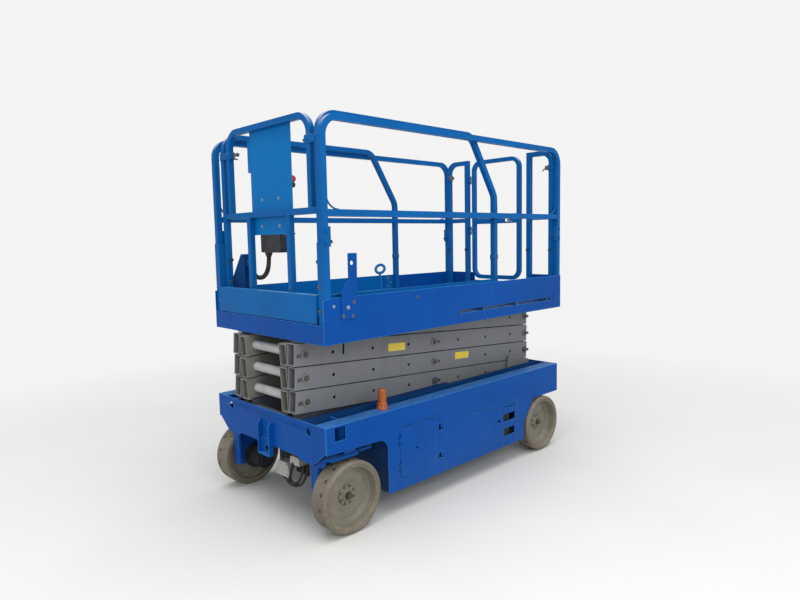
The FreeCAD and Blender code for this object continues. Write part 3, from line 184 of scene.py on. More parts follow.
def tint(c, k):
    return tuple(min(1.0, v * k) for v in c)


def paint(name, base, rough=0.42, dirt=(0.12, 0.12, 0.11), dirt_amount=0.25, top=None, top_amount=0.0,
          low_dirt=0.0, vary=0.10,
          gloss=0.07, top_light_rise=None):
    """Sprayed enamel: slow colour drift, fine orange peel, dirt, and pale tops where a face looks up,
    partly scuffs and partly painted top light.
    """
    m = Tree(name)
    drift = m.ramp(m.noise(1.7, 4, 0.6), 0.3, 0.7, 0, 1)
    col = m.mix(drift, tint(base, 1 - vary), tint(base, 1 + vary))
    streak = m.ramp(m.noise(7, 5, 0.65, m.scaled(1, 1, 0.22), 0.4), 0.52, 0.80, 0, dirt_amount)
    col = m.mix(streak, col, dirt)
    if low_dirt:
        low = m.ramp(m.axis("Z"), 0.12, 0.42, low_dirt, 0)
        col = m.mix(m.math("MULTIPLY", low, m.ramp(m.noise(11, 5, 0.7), 0.35, 0.7, 0.2, 1)), col,
                    (0.16, 0.15, 0.13))
    # Faces that look up turn paler: partly scuffs, partly painted top light.
    if top:
        scuff_and_light_mask = m.ramp(m.noise(26, 6, 0.75, m.scaled(0.35, 1, 1)), 0.34, 0.62, 0.35, 1)
        amount = m.math("MULTIPLY", m.math("MULTIPLY", m.upward(0.35, 0.95), scuff_and_light_mask), top_amount)
        # A height ramp makes the paler tops grow towards the upper rails: painted highlight.
        if top_light_rise:
            amount = m.math("MULTIPLY", amount, m.ramp(m.axis("Z"), *top_light_rise))
        col = m.mix(amount, col, top)
    m.link(col, m.bsdf.inputs["Base Color"])
    m.bsdf.inputs["Specular IOR Level"].default_value = gloss
    m.link(m.ramp(m.noise(14, 4, 0.6), 0.3, 0.7, rough - 0.07, rough + 0.09), m.bsdf.inputs["Roughness"])
    m.bump(m.noise(320, 2, 0.5), 0.06, 0.0008)
    return m.mat


BLUE = (0.001, 0.056, 0.262)
BLUE_FRONT = (0.001, 0.094, 0.300)
BLUE_PANEL = (0.001, 0.132, 0.385)
BLUE_RAIL = (0.002, 0.088, 0.288)
GREY = (0.148, 0.151, 0.160)
DIRT = (0.012, 0.035, 0.095)
M = {}
M["blue"] = paint("blue_enamel", BLUE, 0.40, top=(0.10, 0.28, 0.52), top_amount=0.45, dirt=DIRT,
                  dirt_amount=0.30)
M["blue_front"] = paint("blue_enamel_toe_boards", BLUE_FRONT, 0.40, top=(0.10, 0.28, 0.52), top_amount=0.45,
                        dirt=DIRT,
                        dirt_amount=0.25)
M["blue_panel"] = paint("blue_enamel_panel", BLUE_PANEL, 0.38, top=(0.14, 0.32, 0.56), top_amount=0.5,
                        dirt=(0.02, 0.07, 0.18),
                        dirt_amount=0.20)
M["blue_low"] = paint("blue_enamel_chassis", BLUE, 0.40, top=(0.07, 0.22, 0.45), top_amount=0.50, dirt=DIRT,
                      dirt_amount=0.35,
                      low_dirt=0.10)
# Rail tops: a pale painted highlight that grows towards the top rail, with some scuffing.
M["blue_rail"] = paint("blue_enamel_rail", BLUE_RAIL, 0.36, top=(0.46, 0.47, 0.50), top_amount=0.95,
                       dirt=(0.02, 0.07, 0.18),
                       dirt_amount=0.25, top_light_rise=(1.85, 2.20, 0.08, 1.0))
# Bevel faces: paler blue, partly worn edges and partly painted edge highlight; its pale streak colour is
# painted highlight.
M["blue_edge"] = paint("blue_enamel_worn_lit_edge", (0.022, 0.15, 0.42), 0.38, dirt=(0.16, 0.30, 0.52),
                       dirt_amount=0.7)
M["blue_pan"] = paint("blue_enamel_shaded", (0.003, 0.038, 0.14), 0.55, dirt=(0.02, 0.02, 0.02),
                      dirt_amount=0.6, low_dirt=0.3)
M["grey"] = paint("grey_enamel", GREY, 0.46, dirt=(0.080, 0.076, 0.066), dirt_amount=0.40, vary=0.06,
                  gloss=0.35)
# Bevel faces of the arms: paler grey, partly wear and partly painted edge highlight.
M["grey_edge"] = paint("grey_enamel_worn_lit_edge", (0.25, 0.255, 0.26), 0.45, dirt=(0.2, 0.2, 0.19),
                       dirt_amount=0.6, gloss=0.35)
M["dark"] = paint("dark_enamel", (0.022, 0.023, 0.025), 0.55, dirt=(0.06, 0.055, 0.045), dirt_amount=0.7)
# Darker bluish grey for the lowest inner arms: painted shade.
M["grey_low"] = paint("grey_enamel_low_shaded", (0.078, 0.088, 0.112), 0.48, dirt=(0.05, 0.05, 0.05),
                      dirt_amount=0.5, vary=0.06, gloss=0.2)

# Inner arms: shaded grey tubes, paler cross tubes between them
m = Tree("grey_enamel_inner")
inner = m.math("ABSOLUTE", m.axis("Y"), 0.0)
pale = m.ramp(inner, 0.174, 0.180, 1, 0)
col = m.mix(pale, (0.165, 0.162, 0.150), (0.345, 0.345, 0.348))
col = m.mix(m.ramp(m.noise(9, 5, 0.65), 0.48, 0.78, 0, 0.5), col, (0.11, 0.10, 0.08))
col = m.mix(m.ramp(m.noise(60, 4, 0.7), 0.55, 0.75, 0, 0.35), col, (0.06, 0.055, 0.045))
m.link(col, m.bsdf.inputs["Base Color"])
m.link(m.ramp(m.noise(14, 4, 0.6), 0.3, 0.7, 0.42, 0.58), m.bsdf.inputs["Roughness"])
m.bump(m.noise(320, 2, 0.5), 0.06, 0.0008)
M["grey_inner"] = m.mat


def metal(name, base, rough, dirt=0.3):
    m = Tree(name)
    col = m.mix(m.ramp(m.noise(60, 5, 0.7), 0.45, 0.75, 0, dirt), base, (0.10, 0.085, 0.07))
    m.link(col, m.bsdf.inputs["Base Color"])
    m.bsdf.inputs["Metallic"].default_value = 0.9
    m.link(m.ramp(m.noise(120, 3), 0.3, 0.7, rough - 0.08, rough + 0.12), m.bsdf.inputs["Roughness"])
    m.bump(m.noise(500, 2), 0.08, 0.0006)
    return m.mat


M["zinc"] = metal("zinc_bolts", (0.40, 0.40, 0.39), 0.42, 0.5)
M["pin"] = metal("pin_heads", (0.115, 0.113, 0.108), 0.46, 0.7)
M["chrome"] = metal("piston_rod", (0.72, 0.72, 0.73), 0.16, 0.1)
M["steel_dark"] = metal("oiled_steel", (0.16, 0.15, 0.14), 0.45, 0.6)


def wheel_material(name, base, centre, inner, outer, rust=0.0, pits=False):
    """Dusty enamel or rubber; colour follows the distance from the axle."""
    m = Tree(name)
    sub = m.t.nodes.new("ShaderNodeVectorMath")
    sub.operation = "SUBTRACT"
    sub.inputs[1].default_value = centre
    m.link(m.coord, sub.inputs[0])
    flat = m.t.nodes.new("ShaderNodeVectorMath")
    flat.operation = "MULTIPLY"
    flat.inputs[1].default_value = (1, 0, 1)
    m.link(sub.outputs[0], flat.inputs[0])
    ln = m.t.nodes.new("ShaderNodeVectorMath")
    ln.operation = "LENGTH"
    m.link(flat.outputs[0], ln.inputs[0])
    radius = ln.outputs["Value"]
    patches = m.ramp(m.noise(9, 5, 0.65), 0.32, 0.68, 0, 1)
    col = m.mix(patches, tint(base, 0.80), tint(base, 1.16))
    fine = m.ramp(m.noise(75, 5, 0.7), 0.50, 0.72, 0, 0.55)
    col = m.mix(fine, col, tint(base, 0.45))
    if rust:
        ring = m.ramp(radius, inner, outer, 0, 1)
        spots = m.ramp(m.noise(34, 6, 0.75), 0.36, 0.60, 0, rust)
        col = m.mix(m.math("MULTIPLY", ring, spots), col, (0.14, 0.066, 0.030))
    if pits:
        # Painted shade: the floors of the tread pits are darkened.
        y = m.math("ABSOLUTE", m.axis("Y"), 0.0)
        tread = m.math("MULTIPLY", m.ramp(y, 0.470, 0.472, 0, 1), m.ramp(y, 0.567, 0.569, 1, 0))
        pit_floor_shade = m.math("MULTIPLY", m.ramp(radius, 0.2018, 0.2026, 1, 0), m.ramp(radius, 0.190, 0.192, 0, 1))
        col = m.mix(m.math("MULTIPLY", tread, pit_floor_shade), col, tint(base, 0.28))
    m.link(col, m.bsdf.inputs["Base Color"])
    m.link(m.ramp(m.noise(30, 4), 0.3, 0.7, 0.58, 0.80), m.bsdf.inputs["Roughness"])
    m.bump(m.noise(180, 5, 0.7), 0.30, 0.0015)
    return m.mat


def plastic(name, base, rough=0.5, dust=0.25, grain=300, gloss=0.25):
    m = Tree(name)
    m.bsdf.inputs["Specular IOR Level"].default_value = gloss
    col = m.mix(m.ramp(m.noise(18, 5, 0.65), 0.42, 0.75, 0, dust), base, (0.16, 0.155, 0.145))
    m.link(col, m.bsdf.inputs["Base Color"])
    m.link(m.ramp(m.noise(40, 3), 0.3, 0.7, rough - 0.06, rough + 0.10), m.bsdf.inputs["Roughness"])
    m.bump(m.noise(grain, 3), 0.15, 0.0008)
    return m.mat


M["black"] = plastic("black_plastic", (0.018, 0.020, 0.023), 0.50, 0.12)
M["rubber"] = plastic("black_hose", (0.016, 0.016, 0.017), 0.58, 0.30)
M["red"] = plastic("red_plastic", (0.42, 0.008, 0.010), 0.28, 0.08, 300, 0.4)
M["yellow"] = plastic("yellow_label", (0.66, 0.50, 0.045), 0.40, 0.30)
M["cast"] = plastic("grey_casting", (0.36, 0.35, 0.33), 0.62, 0.40, 160)
M["case"] = plastic("battery_case", (0.050, 0.050, 0.055), 0.48, 0.35)
M["brass"] = metal("brass_parts", (0.55, 0.40, 0.16), 0.35)
M["rust"] = metal("rusty_steel", (0.150, 0.112, 0.080), 0.70, 0.8)

m = Tree("amber_lens")
m.link(m.mix(m.ramp(m.noise(22, 4), 0.35, 0.7, 0, 0.5), (0.34, 0.070, 0.004), (0.22, 0.045, 0.003)),
       m.bsdf.inputs["Base Color"])
m.bsdf.inputs["Subsurface Weight"].default_value = 0.25
m.bsdf.inputs["Subsurface Radius"].default_value = (0.02, 0.008, 0.002)
m.bsdf.inputs["Roughness"].default_value = 0.28
m.bump(m.noise(90, 3), 0.1, 0.001)
M["amber"] = m.mat

# Deck sheet: raised studs on the walking face
m = Tree("deck_plate")
wave_a = m.t.nodes.new("ShaderNodeTexVoronoi")
wave_a.feature = "F1"
wave_a.inputs["Scale"].default_value = 1.0
wave_a.inputs["Randomness"].default_value = 0.0
m.link(m.scaled(28, 62, 1.0), wave_a.inputs["Vector"])
stud = m.ramp(wave_a.outputs["Distance"], 0.30, 0.42, 1, 0)
worn = m.ramp(m.noise(5, 5, 0.6), 0.35, 0.65, 0.1, 0.8)
col = m.mix(m.math("MULTIPLY", stud, worn), BLUE, (0.10, 0.22, 0.40))
col = m.mix(m.ramp(m.noise(3, 6, 0.7), 0.45, 0.75, 0, 0.45), col, (0.14, 0.15, 0.16))
m.link(col, m.bsdf.inputs["Base Color"])
m.bsdf.inputs["Roughness"].default_value = 0.5
m.bump(stud, 0.7, 0.002)
M["deck"] = m.mat

m = Tree("floor_pale")
m.link(m.mix(m.ramp(m.noise(0.6, 4), 0.3, 0.7, 0, 1), (0.535, 0.53, 0.515), (0.575, 0.57, 0.555)),
       m.bsdf.inputs["Base Color"])
m.bsdf.inputs["Roughness"].default_value = 0.85
m.bump(m.noise(40, 4), 0.08, 0.002)
away = m.t.nodes.new("ShaderNodeVectorMath")
away.operation = "LENGTH"
m.link(m.coord, away.inputs[0])
glow = m.t.nodes.new("ShaderNodeEmission")
glow.inputs["Color"].default_value = (0.90, 0.90, 0.895, 1)
fade = m.t.nodes.new("ShaderNodeMixShader")
m.link(m.ramp(away.outputs["Value"], 1.9, 5.0, 0, 1), fade.inputs[0])
m.link(m.bsdf.outputs[0], fade.inputs[1])
m.link(glow.outputs[0], fade.inputs[2])
m.link(fade.outputs[0], m.out.inputs["Surface"])
M["floor"] = m.mat


# Mesh helpers
def obj_from(name, bm, mat, body, smooth=False, bevel=0.0, mats=()):
    me = bpy.data.meshes.new(name)
    bmesh.ops.recalc_face_normals(bm, faces=bm.faces)
    bm.to_mesh(me)
    bm.free()
    o = bpy.data.objects.new(name, me)
    COL.objects.link(o)
    me.materials.append(mat)
    for extra in mats:
        me.materials.append(extra)
    if smooth:
        for p in me.polygons:
            p.use_smooth = True
        me.set_sharp_from_angle(angle=math.radians(35))
    if bevel:
        b = o.modifiers.new("edge", "BEVEL")
        b.width = bevel
        b.segments = 2
        b.limit_method = "ANGLE"
        b.angle_limit = math.radians(40)
    if body:
        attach(o, body)
    return o


def frame_of(axis):
    a = Vector(axis).normalized()
    t = Vector((0, 0, 1)) if abs(a.z) < 0.9 else Vector((1, 0, 0))
    b = a.cross(t).normalized()
    return a, b, a.cross(b)


def lathe(bm, profile, centre, axis, seg=40, closed=False):
    """profile: (radius, height along axis); a radius of 0 closes the end."""
    a, b, c = frame_of(axis)
    o = Vector(centre)
    rings = []
    for r, h in profile:
        if r <= 1e-7:
            rings.append([bm.verts.new(o + a * h)])
        else:
            ring = []
            for i in range(seg):
                w = 2 * math.pi * i / seg
                ring.append(bm.verts.new(o + a * h + (b * math.cos(w) + c * math.sin(w)) * r))
            rings.append(ring)
    pairs = list(zip(rings, rings[1:]))
    if closed:
        pairs.append((rings[-1], rings[0]))
    for p, q in pairs:
        if len(p) == 1 and len(q) == 1:
            continue
        for i in range(seg):
            j = (i + 1) % seg
            if len(p) == 1:
                bm.faces.new((p[0], q[i], q[j]))
            elif len(q) == 1:
                bm.faces.new((p[i], p[j], q[0]))
            else:
                bm.faces.new((p[i], p[j], q[j], q[i]))


def hexhead(bm, centre, axis, r, h, washer=1.5, seg=24):
    """Bolt head with chamfered top on its washer, standing on a face at centre."""
    lathe(bm, [(0, 0), (r * washer, 0), (r * washer, h * 0.16), (r * washer - 0.0006, h * 0.22),
               (0, h * 0.22)], centre, axis, seg)
    lathe(bm, [(0, h * 0.2), (r, h * 0.2), (r, h * 0.86), (r * 0.84, h), (0, h)], centre, axis, 6)


def dome(bm, centre, axis, r, h, seg=16):
    lathe(bm, [(r, 0), (r * 0.95, h * 0.45), (r * 0.7, h * 0.82), (r * 0.35, h * 0.97), (0, h)], centre,
          axis, seg)


def block(bm, lo, hi):
    vs = [bm.verts.new((x, y, z)) for x in (lo[0], hi[0]) for y in (lo[1], hi[1]) for z in (lo[2], hi[2])]
    for f in ((0, 1, 3, 2), (4, 6, 7, 5), (0, 4, 5, 1), (2, 3, 7, 6), (0, 2, 6, 4), (1, 5, 7, 3)):
        bm.faces.new([vs[i] for i in f])


def prism(bm, pts, axis, d0, d1):
    """Closed outline pts in the plane across axis ('x': (y,z), 'y': (x,z), 'z': (x,y)), from d0 to d1."""
    def at(p, d):
        return {"x": (d, p[0], p[1]), "y": (p[0], d, p[1]), "z": (p[0], p[1], d)}[axis]
    a = [bm.verts.new(at(p, d0)) for p in pts]
    b = [bm.verts.new(at(p, d1)) for p in pts]
    bm.faces.new(a[::-1])
    bm.faces.new(b)
    n = len(pts)
    for i in range(n):
        bm.faces.new((a[i], a[(i + 1) % n], b[(i + 1) % n], b[i]))


def rounded(x0, x1, y0, y1, r, n=5):
    pts = []
    for cx, cy, w in ((x1 - r, y1 - r, 0), (x0 + r, y1 - r, 90), (x0 + r, y0 + r, 180),
                      (x1 - r, y0 + r, 270)):
        for i in range(n + 1):
            t = math.radians(w + 90 * i / n)
            pts.append((cx + r * math.cos(t), cy + r * math.sin(t)))
    return pts


def sweep(bm, pts, radius, seg=10, caps=True):
    """Round tube along points; radius is a number or one per point."""
    pts = [Vector(p) for p in pts]
    n = len(pts)
    rad = radius if isinstance(radius, (list, tuple)) else [radius] * n
    t0 = (pts[1] - pts[0]).normalized()
    _, b, c = frame_of(t0)
    rings = []
    for i, p in enumerate(pts):
        t = (pts[min(i + 1, n - 1)] - pts[max(i - 1, 0)]).normalized()
        b = (b - t * b.dot(t)).normalized()
        c = t.cross(b)
        rings.append([bm.verts.new(p + (b * math.cos(2 * math.pi * k / seg) + c * math.sin(2 * math.pi * k / seg)) * rad[i])
                      for k in range(seg)])
    for p, q in zip(rings, rings[1:]):
        for k in range(seg):
            j = (k + 1) % seg
            bm.faces.new((p[k], p[j], q[j], q[k]))
    if caps:
        bm.faces.new(rings[0][::-1])
        bm.faces.new(rings[-1])


def nurbs_line(points, per=12):
    """Points along the smooth NURBS line through a route's control points."""
    cu = bpy.data.curves.new("route", "CURVE")
    cu.dimensions = "3D"
    sp = cu.splines.new("NURBS")
    sp.points.add(len(points) - 1)
    for p, q in zip(sp.points, points):
        p.co = (q[0], q[1], q[2], 1)
    sp.order_u = 3
    sp.use_endpoint_u = True
    sp.resolution_u = per
    o = bpy.data.objects.new("route", cu)
    me = bpy.data.meshes.new_from_object(o)
    line = [v.co.copy() for v in me.vertices]
    bpy.data.objects.remove(o)
    bpy.data.curves.remove(cu)
    bpy.data.meshes.remove(me)
    return line


def resample(line, step):
    out = [line[0].copy()]
    left = step
    for a, b in zip(line, line[1:]):
        d = (b - a).length
        pos = 0.0
        while d - pos >= left:
            pos += left
            out.append(a.lerp(b, pos / d))
            left = step
        left -= d - pos
    return out


def arc(centre, u, v, r, a0, a1, n=10):
    c, u, v = Vector(centre), Vector(u), Vector(v)
    return [c + u * (r * math.cos(a)) + v * (r * math.sin(a))
            for a in (math.radians(a0 + (a1 - a0) * i / n) for i in range(n + 1))]


# Carried-over nodes: finishes and softened edges
def dress(node, mat, edge=None, width=0.0016):
    o = NODES[node]
    o.data.materials.clear()
    o.data.materials.append(mat)
    for p in o.data.polygons:
        p.material_index = 0
    if width:
        w = o.modifiers.new("join", "WELD")
        w.merge_threshold = 0.00002
        b = o.modifiers.new("edge", "BEVEL")
        b.width = width
        b.segments = 2
        b.limit_method = "ANGLE"
        b.angle_limit = math.radians(50)
        b.use_clamp_overlap = True
        # Bevel faces take the paler edge material: partly worn paint, partly painted edge highlight.
        if edge:
            o.data.materials.append(edge)
            b.material = 1


for n in ("chassis_side_left", "chassis_side_right", "chassis_front_plate", "chassis_rear_plate",
          "tie_down_bracket",
          "entry_ladder", "kingpin_housings", "steer_yoke_left", "steer_yoke_right", "access_hatch",
          "control_tray",
          "battery_tray"):
    dress(n, M["blue_low"], M["blue_edge"])
for n in ("platform_skirts", "strip_bracket"):
    dress(n, M["blue"], M["blue_edge"])
dress("extension_deck", M["blue_front"], M["blue_edge"])
dress("cable_bracket", M["blue_pan"], M["blue_low"])
for n in ("front_panels", "control_box"):
    dress(n, M["blue_panel"], M["blue_edge"])
for n in ("side_rails", "corner_stanchions", "rear_hoops", "entry_gate", "extension_rails", "front_rail"):
    dress(n, M["blue_rail"], None, 0.003)
for n in ("chassis_beams", "chassis_pan", "rear_axle", "hinge_posts"):
    dress(n, M["blue_pan"], None, 0)
dress("platform_deck", M["deck"], None, 0)
for k in range(1, 5):
    dress("outer_arms_%d" % k, M["grey"], M["grey_edge"], 0.003)
    dress("inner_arms_%d" % k, M["grey_inner"], None, 0.003)
# The lowest inner arms get the darker grey as painted shade.
dress("inner_arms_1", M["grey_low"], None, 0.003)
dress("rear_pivot_brackets", M["grey"], M["grey_edge"])
for n in ("drive_motor_left", "drive_motor_right", "tie_rod", "lift_cylinder_barrel", "power_modules"):
    dress(n, M["dark"], None, 0)
for n in ("lower_rollers", "upper_rollers"):
    dress(n, M["steel_dark"], None, 0)
dress("lift_cylinder_rod", M["chrome"], None, 0)
for n in ("junction_box", "conduit"):
    dress(n, M["black"], None, 0)
dress("beacon", M["amber"], None, 0)
dress("stop_button", M["red"], None, 0)
dress("batteries", M["case"], None, 0)

# Wheels: rubber with its moulded marks, dished rim, hub nut and bolts
TR, RR = 0.203, 0.178
WHEELS = {"front_left": (0.961, 1, "front_left_wheel"), "front_right": (0.961, -1, "front_right_wheel"),
          "rear_left": (-0.889, 1, "rear_left_wheel"), "rear_right": (-0.889, -1, "rear_right_wheel")}
for which, (wx, side, body) in WHEELS.items():
    y_in, y_out = 0.456, 0.583
    rubber = wheel_material("rubber_" + which, (0.138, 0.129, 0.098), (wx, 0, TR), 0.178, 0.186, 0.22, True)
    shade = wheel_material("rim_enamel_" + which, (0.170, 0.158, 0.120), (wx, 0, TR), 0.160, 0.176, 0.75)
    bm = bmesh.new()
    prof = [(RR, y_in + 0.003), (RR + 0.006, y_in), (TR - 0.016, y_in), (TR - 0.012, y_in + 0.001),
            (TR - 0.004, y_in + 0.006),
            (TR - 0.0005, y_in + 0.012)]
    rows = 20
    for i in range(1, rows):
        prof.append((TR, y_in + 0.012 + (y_out - y_in - 0.024) * i / rows))
    prof += [(TR - 0.0005, y_out - 0.012), (TR - 0.004, y_out - 0.006), (TR - 0.012, y_out - 0.001),
             (TR - 0.0155, y_out - 0.0004),
             (TR - 0.0165, y_out - 0.0016), (TR - 0.0180, y_out - 0.0016), (TR - 0.0190, y_out - 0.0002),
             (RR + 0.005, y_out),
             (RR + 0.0015, y_out - 0.002), (RR, y_out - 0.004)]
    seg = 216
    pits = []
    for i in range(15):
        w = 2 * math.pi * (i + 0.25 * rng.random()) / 15
        pits.append((w, y_in + 0.084 + 0.006 * rng.uniform(-1, 1), 0.0115, 0.0055))
    for i in range(26):
        pits.append((rng.uniform(0, 2 * math.pi), rng.uniform(y_in + 0.016, y_out - 0.012),
                     rng.uniform(0.004, 0.009), rng.uniform(0.001, 0.003)))
    rings = []
    for r, h in prof:
        ring = []
        for i in range(seg):
            w = 2 * math.pi * i / seg
            rr = r
            if r > TR - 0.006:
                for pw, ph, pr, depth in pits:
                    dw = (w - pw + math.pi) % (2 * math.pi) - math.pi
                    d = math.hypot(dw * TR, h - ph)
                    if d < pr:
                        rr -= depth * (1 - (d / pr) ** 2)
            ring.append(bm.verts.new((wx + rr * math.sin(w), side * h, TR + rr * math.cos(w))))
        rings.append(ring)
    for p, q in list(zip(rings, rings[1:])) + [(rings[-1], rings[0])]:
        for i in range(seg):
            j = (i + 1) % seg
            bm.faces.new((p[i], p[j], q[j], q[i]))
    t = obj_from("tread_" + which, bm, rubber, body, smooth=True)
    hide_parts("tyre_" + which)

    dress("rim_" + which, shade, None, 0)
    for p in NODES["rim_" + which].data.polygons:
        p.use_smooth = True
    web = 0.511
    bm = bmesh.new()
    for i in range(8):
        w = math.radians(22.5 + 45 * i)
        hexhead(bm, (wx + 0.049 * math.sin(w), side * (web + 0.009), TR + 0.049 * math.cos(w)),
                (0, side, 0), 0.0045, 0.006)
    lathe(bm, [(0, 0), (0.024, 0), (0.024, 0.003), (0, 0.003)], (wx, side * 0.531, TR), (0, side, 0), 24)
    lathe(bm, [(0, 0.003), (0.017, 0.003), (0.017, 0.015), (0.013, 0.020), (0, 0.020)],
          (wx, side * 0.531, TR), (0, side, 0), 6)
    for i in range(6):
        w = math.radians(60 * i)
        c = Vector((wx + 0.0125 * math.sin(w), side * 0.550, TR + 0.0125 * math.cos(w)))
        block(bm, (c.x - 0.0025, c.y - 0.003, c.z - 0.0025), (c.x + 0.0025, c.y + 0.003, c.z + 0.0025))
    sweep(bm, [(wx - 0.021, side * 0.549, TR + 0.003), (wx, side * 0.549, TR),
               (wx + 0.021, side * 0.549, TR - 0.003)], 0.0016, 6)
    o = obj_from("hub_nut_" + which, bm, M["rust"], body)

# Scissor pins: washers, hex heads and keeper bolts
SX, RX, SZ, ST = 1.0705, -1.019, 0.584, 0.132
CX = (SX + RX) / 2
HEAD = 0.332
for k in range(1, 5):
    bm = bmesh.new()
    spots = [(CX, SZ + (k - 0.5) * ST)]
    if k < 4:
        spots.append((RX, SZ + k * ST))
    if k > 1:
        spots.append((SX, SZ + (k - 1) * ST))
    for x, z in spots:
        for s in (1, -1):
            lathe(bm, [(0.0185, 0), (0.0185, 0.0012), (0.0178, 0.0020), (0.011, 0.0020)], (x, s * HEAD, z),
                  (0, s, 0), 32)
            hexhead(bm, (x, s * (HEAD + 0.001), z), (0, s, 0), 0.0105, 0.009, 1.35)
    obj_from("pin_bolts_%d" % k, bm, M["pin"], "inner_%d" % k)
    bm = bmesh.new()
    spots = [(CX, SZ + (k - 0.5) * ST)]
    if k < 4:
        spots.append((SX, SZ + k * ST))
    if k > 1:
        spots.append((RX, SZ + (k - 1) * ST))
    for x, z in spots:
        e = 1 if x > 1.0 else -1
        for s in (1, -1):
            hexhead(bm, (x + e * 0.044, s * 0.325, z - 0.004), (0, s, 0), 0.0062, 0.006)
            prism(bm, [(x + e * 0.056, z - 0.015), (x + e * 0.030, z - 0.013), (x + e * 0.029, z + 0.006),
                       (x + e * 0.056, z + 0.006)],
                  "y", s * 0.3252, s * 0.3264)
    obj_from("pin_keepers_%d" % k, bm, M["pin"], "outer_%d" % k)

# Blank yellow labels on the outer arms
slope = math.atan2(132.0, 2089.5)
for i, (x, z, k) in enumerate(((0.372, 0.928, 3), (-0.258, 0.783, 2))):
    bm = bmesh.new()
    pts = []
    for px_, pz_ in rounded(-0.073, 0.073, -0.024, 0.024, 0.004):
        pts.append((x + px_ * math.cos(slope) - pz_ * math.sin(slope),
                    z + px_ * math.sin(slope) + pz_ * math.cos(slope)))
    prism(bm, pts, "y", 0.3251, 0.3256)
    obj_from("blank_label_%d" % i, bm, M["yellow"], "outer_%d" % k)

# Beacon: base and ribbed lens
bx, by, bz = 0.666, 0.500, 0.625
bm = bmesh.new()
lathe(bm, [(0, 0), (0.034, 0), (0.034, 0.006), (0.031, 0.012), (0.029, 0.030), (0.0285, 0.034)],
      (bx, by, bz), (0, 0, 1), 40)
seg = 72
prof = [(0.0285, 0.034), (0.0245, 0.038), (0.0245, 0.044), (0.0250, 0.050), (0.0250, 0.106),
        (0.0235, 0.112), (0.019, 0.1165), (0.008, 0.1178)]
rings = []
for r, h in prof:
    ring = []
    for i in range(seg):
        w = 2 * math.pi * i / seg
        rr = r
        if 0.046 < h < 0.110:
            rr = r - 0.0012 * (0.5 + 0.5 * math.cos(24 * w))
        ring.append(bm.verts.new((bx + rr * math.cos(w), by + rr * math.sin(w), bz + h)))
    rings.append(ring)
for p, q in zip(rings, rings[1:]):
    for i in range(seg):
        j = (i + 1) % seg
        bm.faces.new((p[i], p[j], q[j], q[i]))
bm.faces.new(rings[-1])
o = obj_from("beacon_lens", bm, M["amber"], "chassis", smooth=True)
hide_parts("beacon")

# Junction box: lid, corner screws, cable gland
bm = bmesh.new()
prism(bm, rounded(-0.130, 0.064, 1.543, 1.635, 0.008), "x", 0.9475, 0.9515)
for y in (-0.122, 0.056):
    for z in (1.551, 1.627):
        dome(bm, (0.9475, y, z), (-1, 0, 0), 0.005, 0.003, 12)
lathe(bm, [(0.0215, 0), (0.0215, 0.010), (0.0175, 0.016), (0.0175, 0.024)], (1.002, -0.108, 1.537),
      (0, 0, -1), 20)
obj_from("junction_box_lid", bm, M["black"], "extension")

# Conduit: corrugated sleeve along the CAD route
route = [(1.002, -0.108, 1.537), (1.002, -0.108, 1.452), (1.002, -0.165, 1.387), (1.002, -0.250, 1.379),
         (1.002, -0.298, 1.417),
         (1.002, -0.331, 1.453)]
line = nurbs_line(route, 24)
fine = resample(line, 0.0016)
fine.append(line[-1])
rads = []
for i in range(len(fine)):
    rads.append((0.0140, 0.0140, 0.0119, 0.0119)[i % 4])
bm = bmesh.new()
sweep(bm, fine, rads, 20)
conduit = obj_from("conduit_sleeve", bm, M["rubber"], "extension", smooth=True)
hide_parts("conduit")

# Front panel bolts
bm = bmesh.new()
for y, z in ((-0.096, 1.845), (0.076, 1.846), (-0.108, 1.692), (0.077, 1.692)):
    hexhead(bm, (1.0395, y, z), (1, 0, 0), 0.0065, 0.006)
obj_from("panel_bolts", bm, M["zinc"], "extension")

# Small curved rods between posts and mid rails
RAIL_Y = 0.5485
for s, name in ((1, "left"), (-1, "right")):
    bm = bmesh.new()
    sweep(bm, arc((0.985, s * RAIL_Y, 1.845), (1, 0, 0), (0, 0, 1), 0.083, 0, -90, 12), 0.005, 8)
    sweep(bm, arc((-1.018, s * RAIL_Y, 1.845), (1, 0, 0), (0, 0, 1), 0.083, 180, 270, 12), 0.005, 8)
    obj_from("rail_rods_" + name, bm, M["blue_rail"], "platform", smooth=True)

# Front cross bracket with the steering valve castings and their hoses
bm = bmesh.new()
# The plate is a mount; its broad near-black face also stands in for the shade behind the castings.
block(bm, (0.988, -0.085, 0.235), (0.996, 0.215, 0.520))
block(bm, (0.988, -0.085, 0.500), (1.124, -0.079, 0.540))
block(bm, (0.988, 0.209, 0.500), (1.124, 0.215, 0.540))
block(bm, (0.988, -0.085, 0.512), (1.124, 0.215, 0.520))
obj_from("valve_bracket", bm, M["dark"], "chassis", bevel=0.001)
bm = bmesh.new()
prism(bm, [(-0.045, 0.206), (0.090, 0.206), (0.096, 0.232), (0.080, 0.286), (0.062, 0.296), (-0.010, 0.296),
           (-0.040, 0.268), (-0.049, 0.230)],
      "x", 0.996, 1.052)
prism(bm, [(0.100, 0.300), (0.190, 0.300), (0.192, 0.338), (0.178, 0.350), (0.112, 0.350), (0.100, 0.336)],
      "x", 0.996, 1.046)
for y, z in ((-0.030, 0.224), (0.078, 0.224), (0.066, 0.280)):
    hexhead(bm, (1.052, y, z), (1, 0, 0), 0.006, 0.006)
obj_from("valve_castings", bm, M["cast"], "chassis", bevel=0.004)
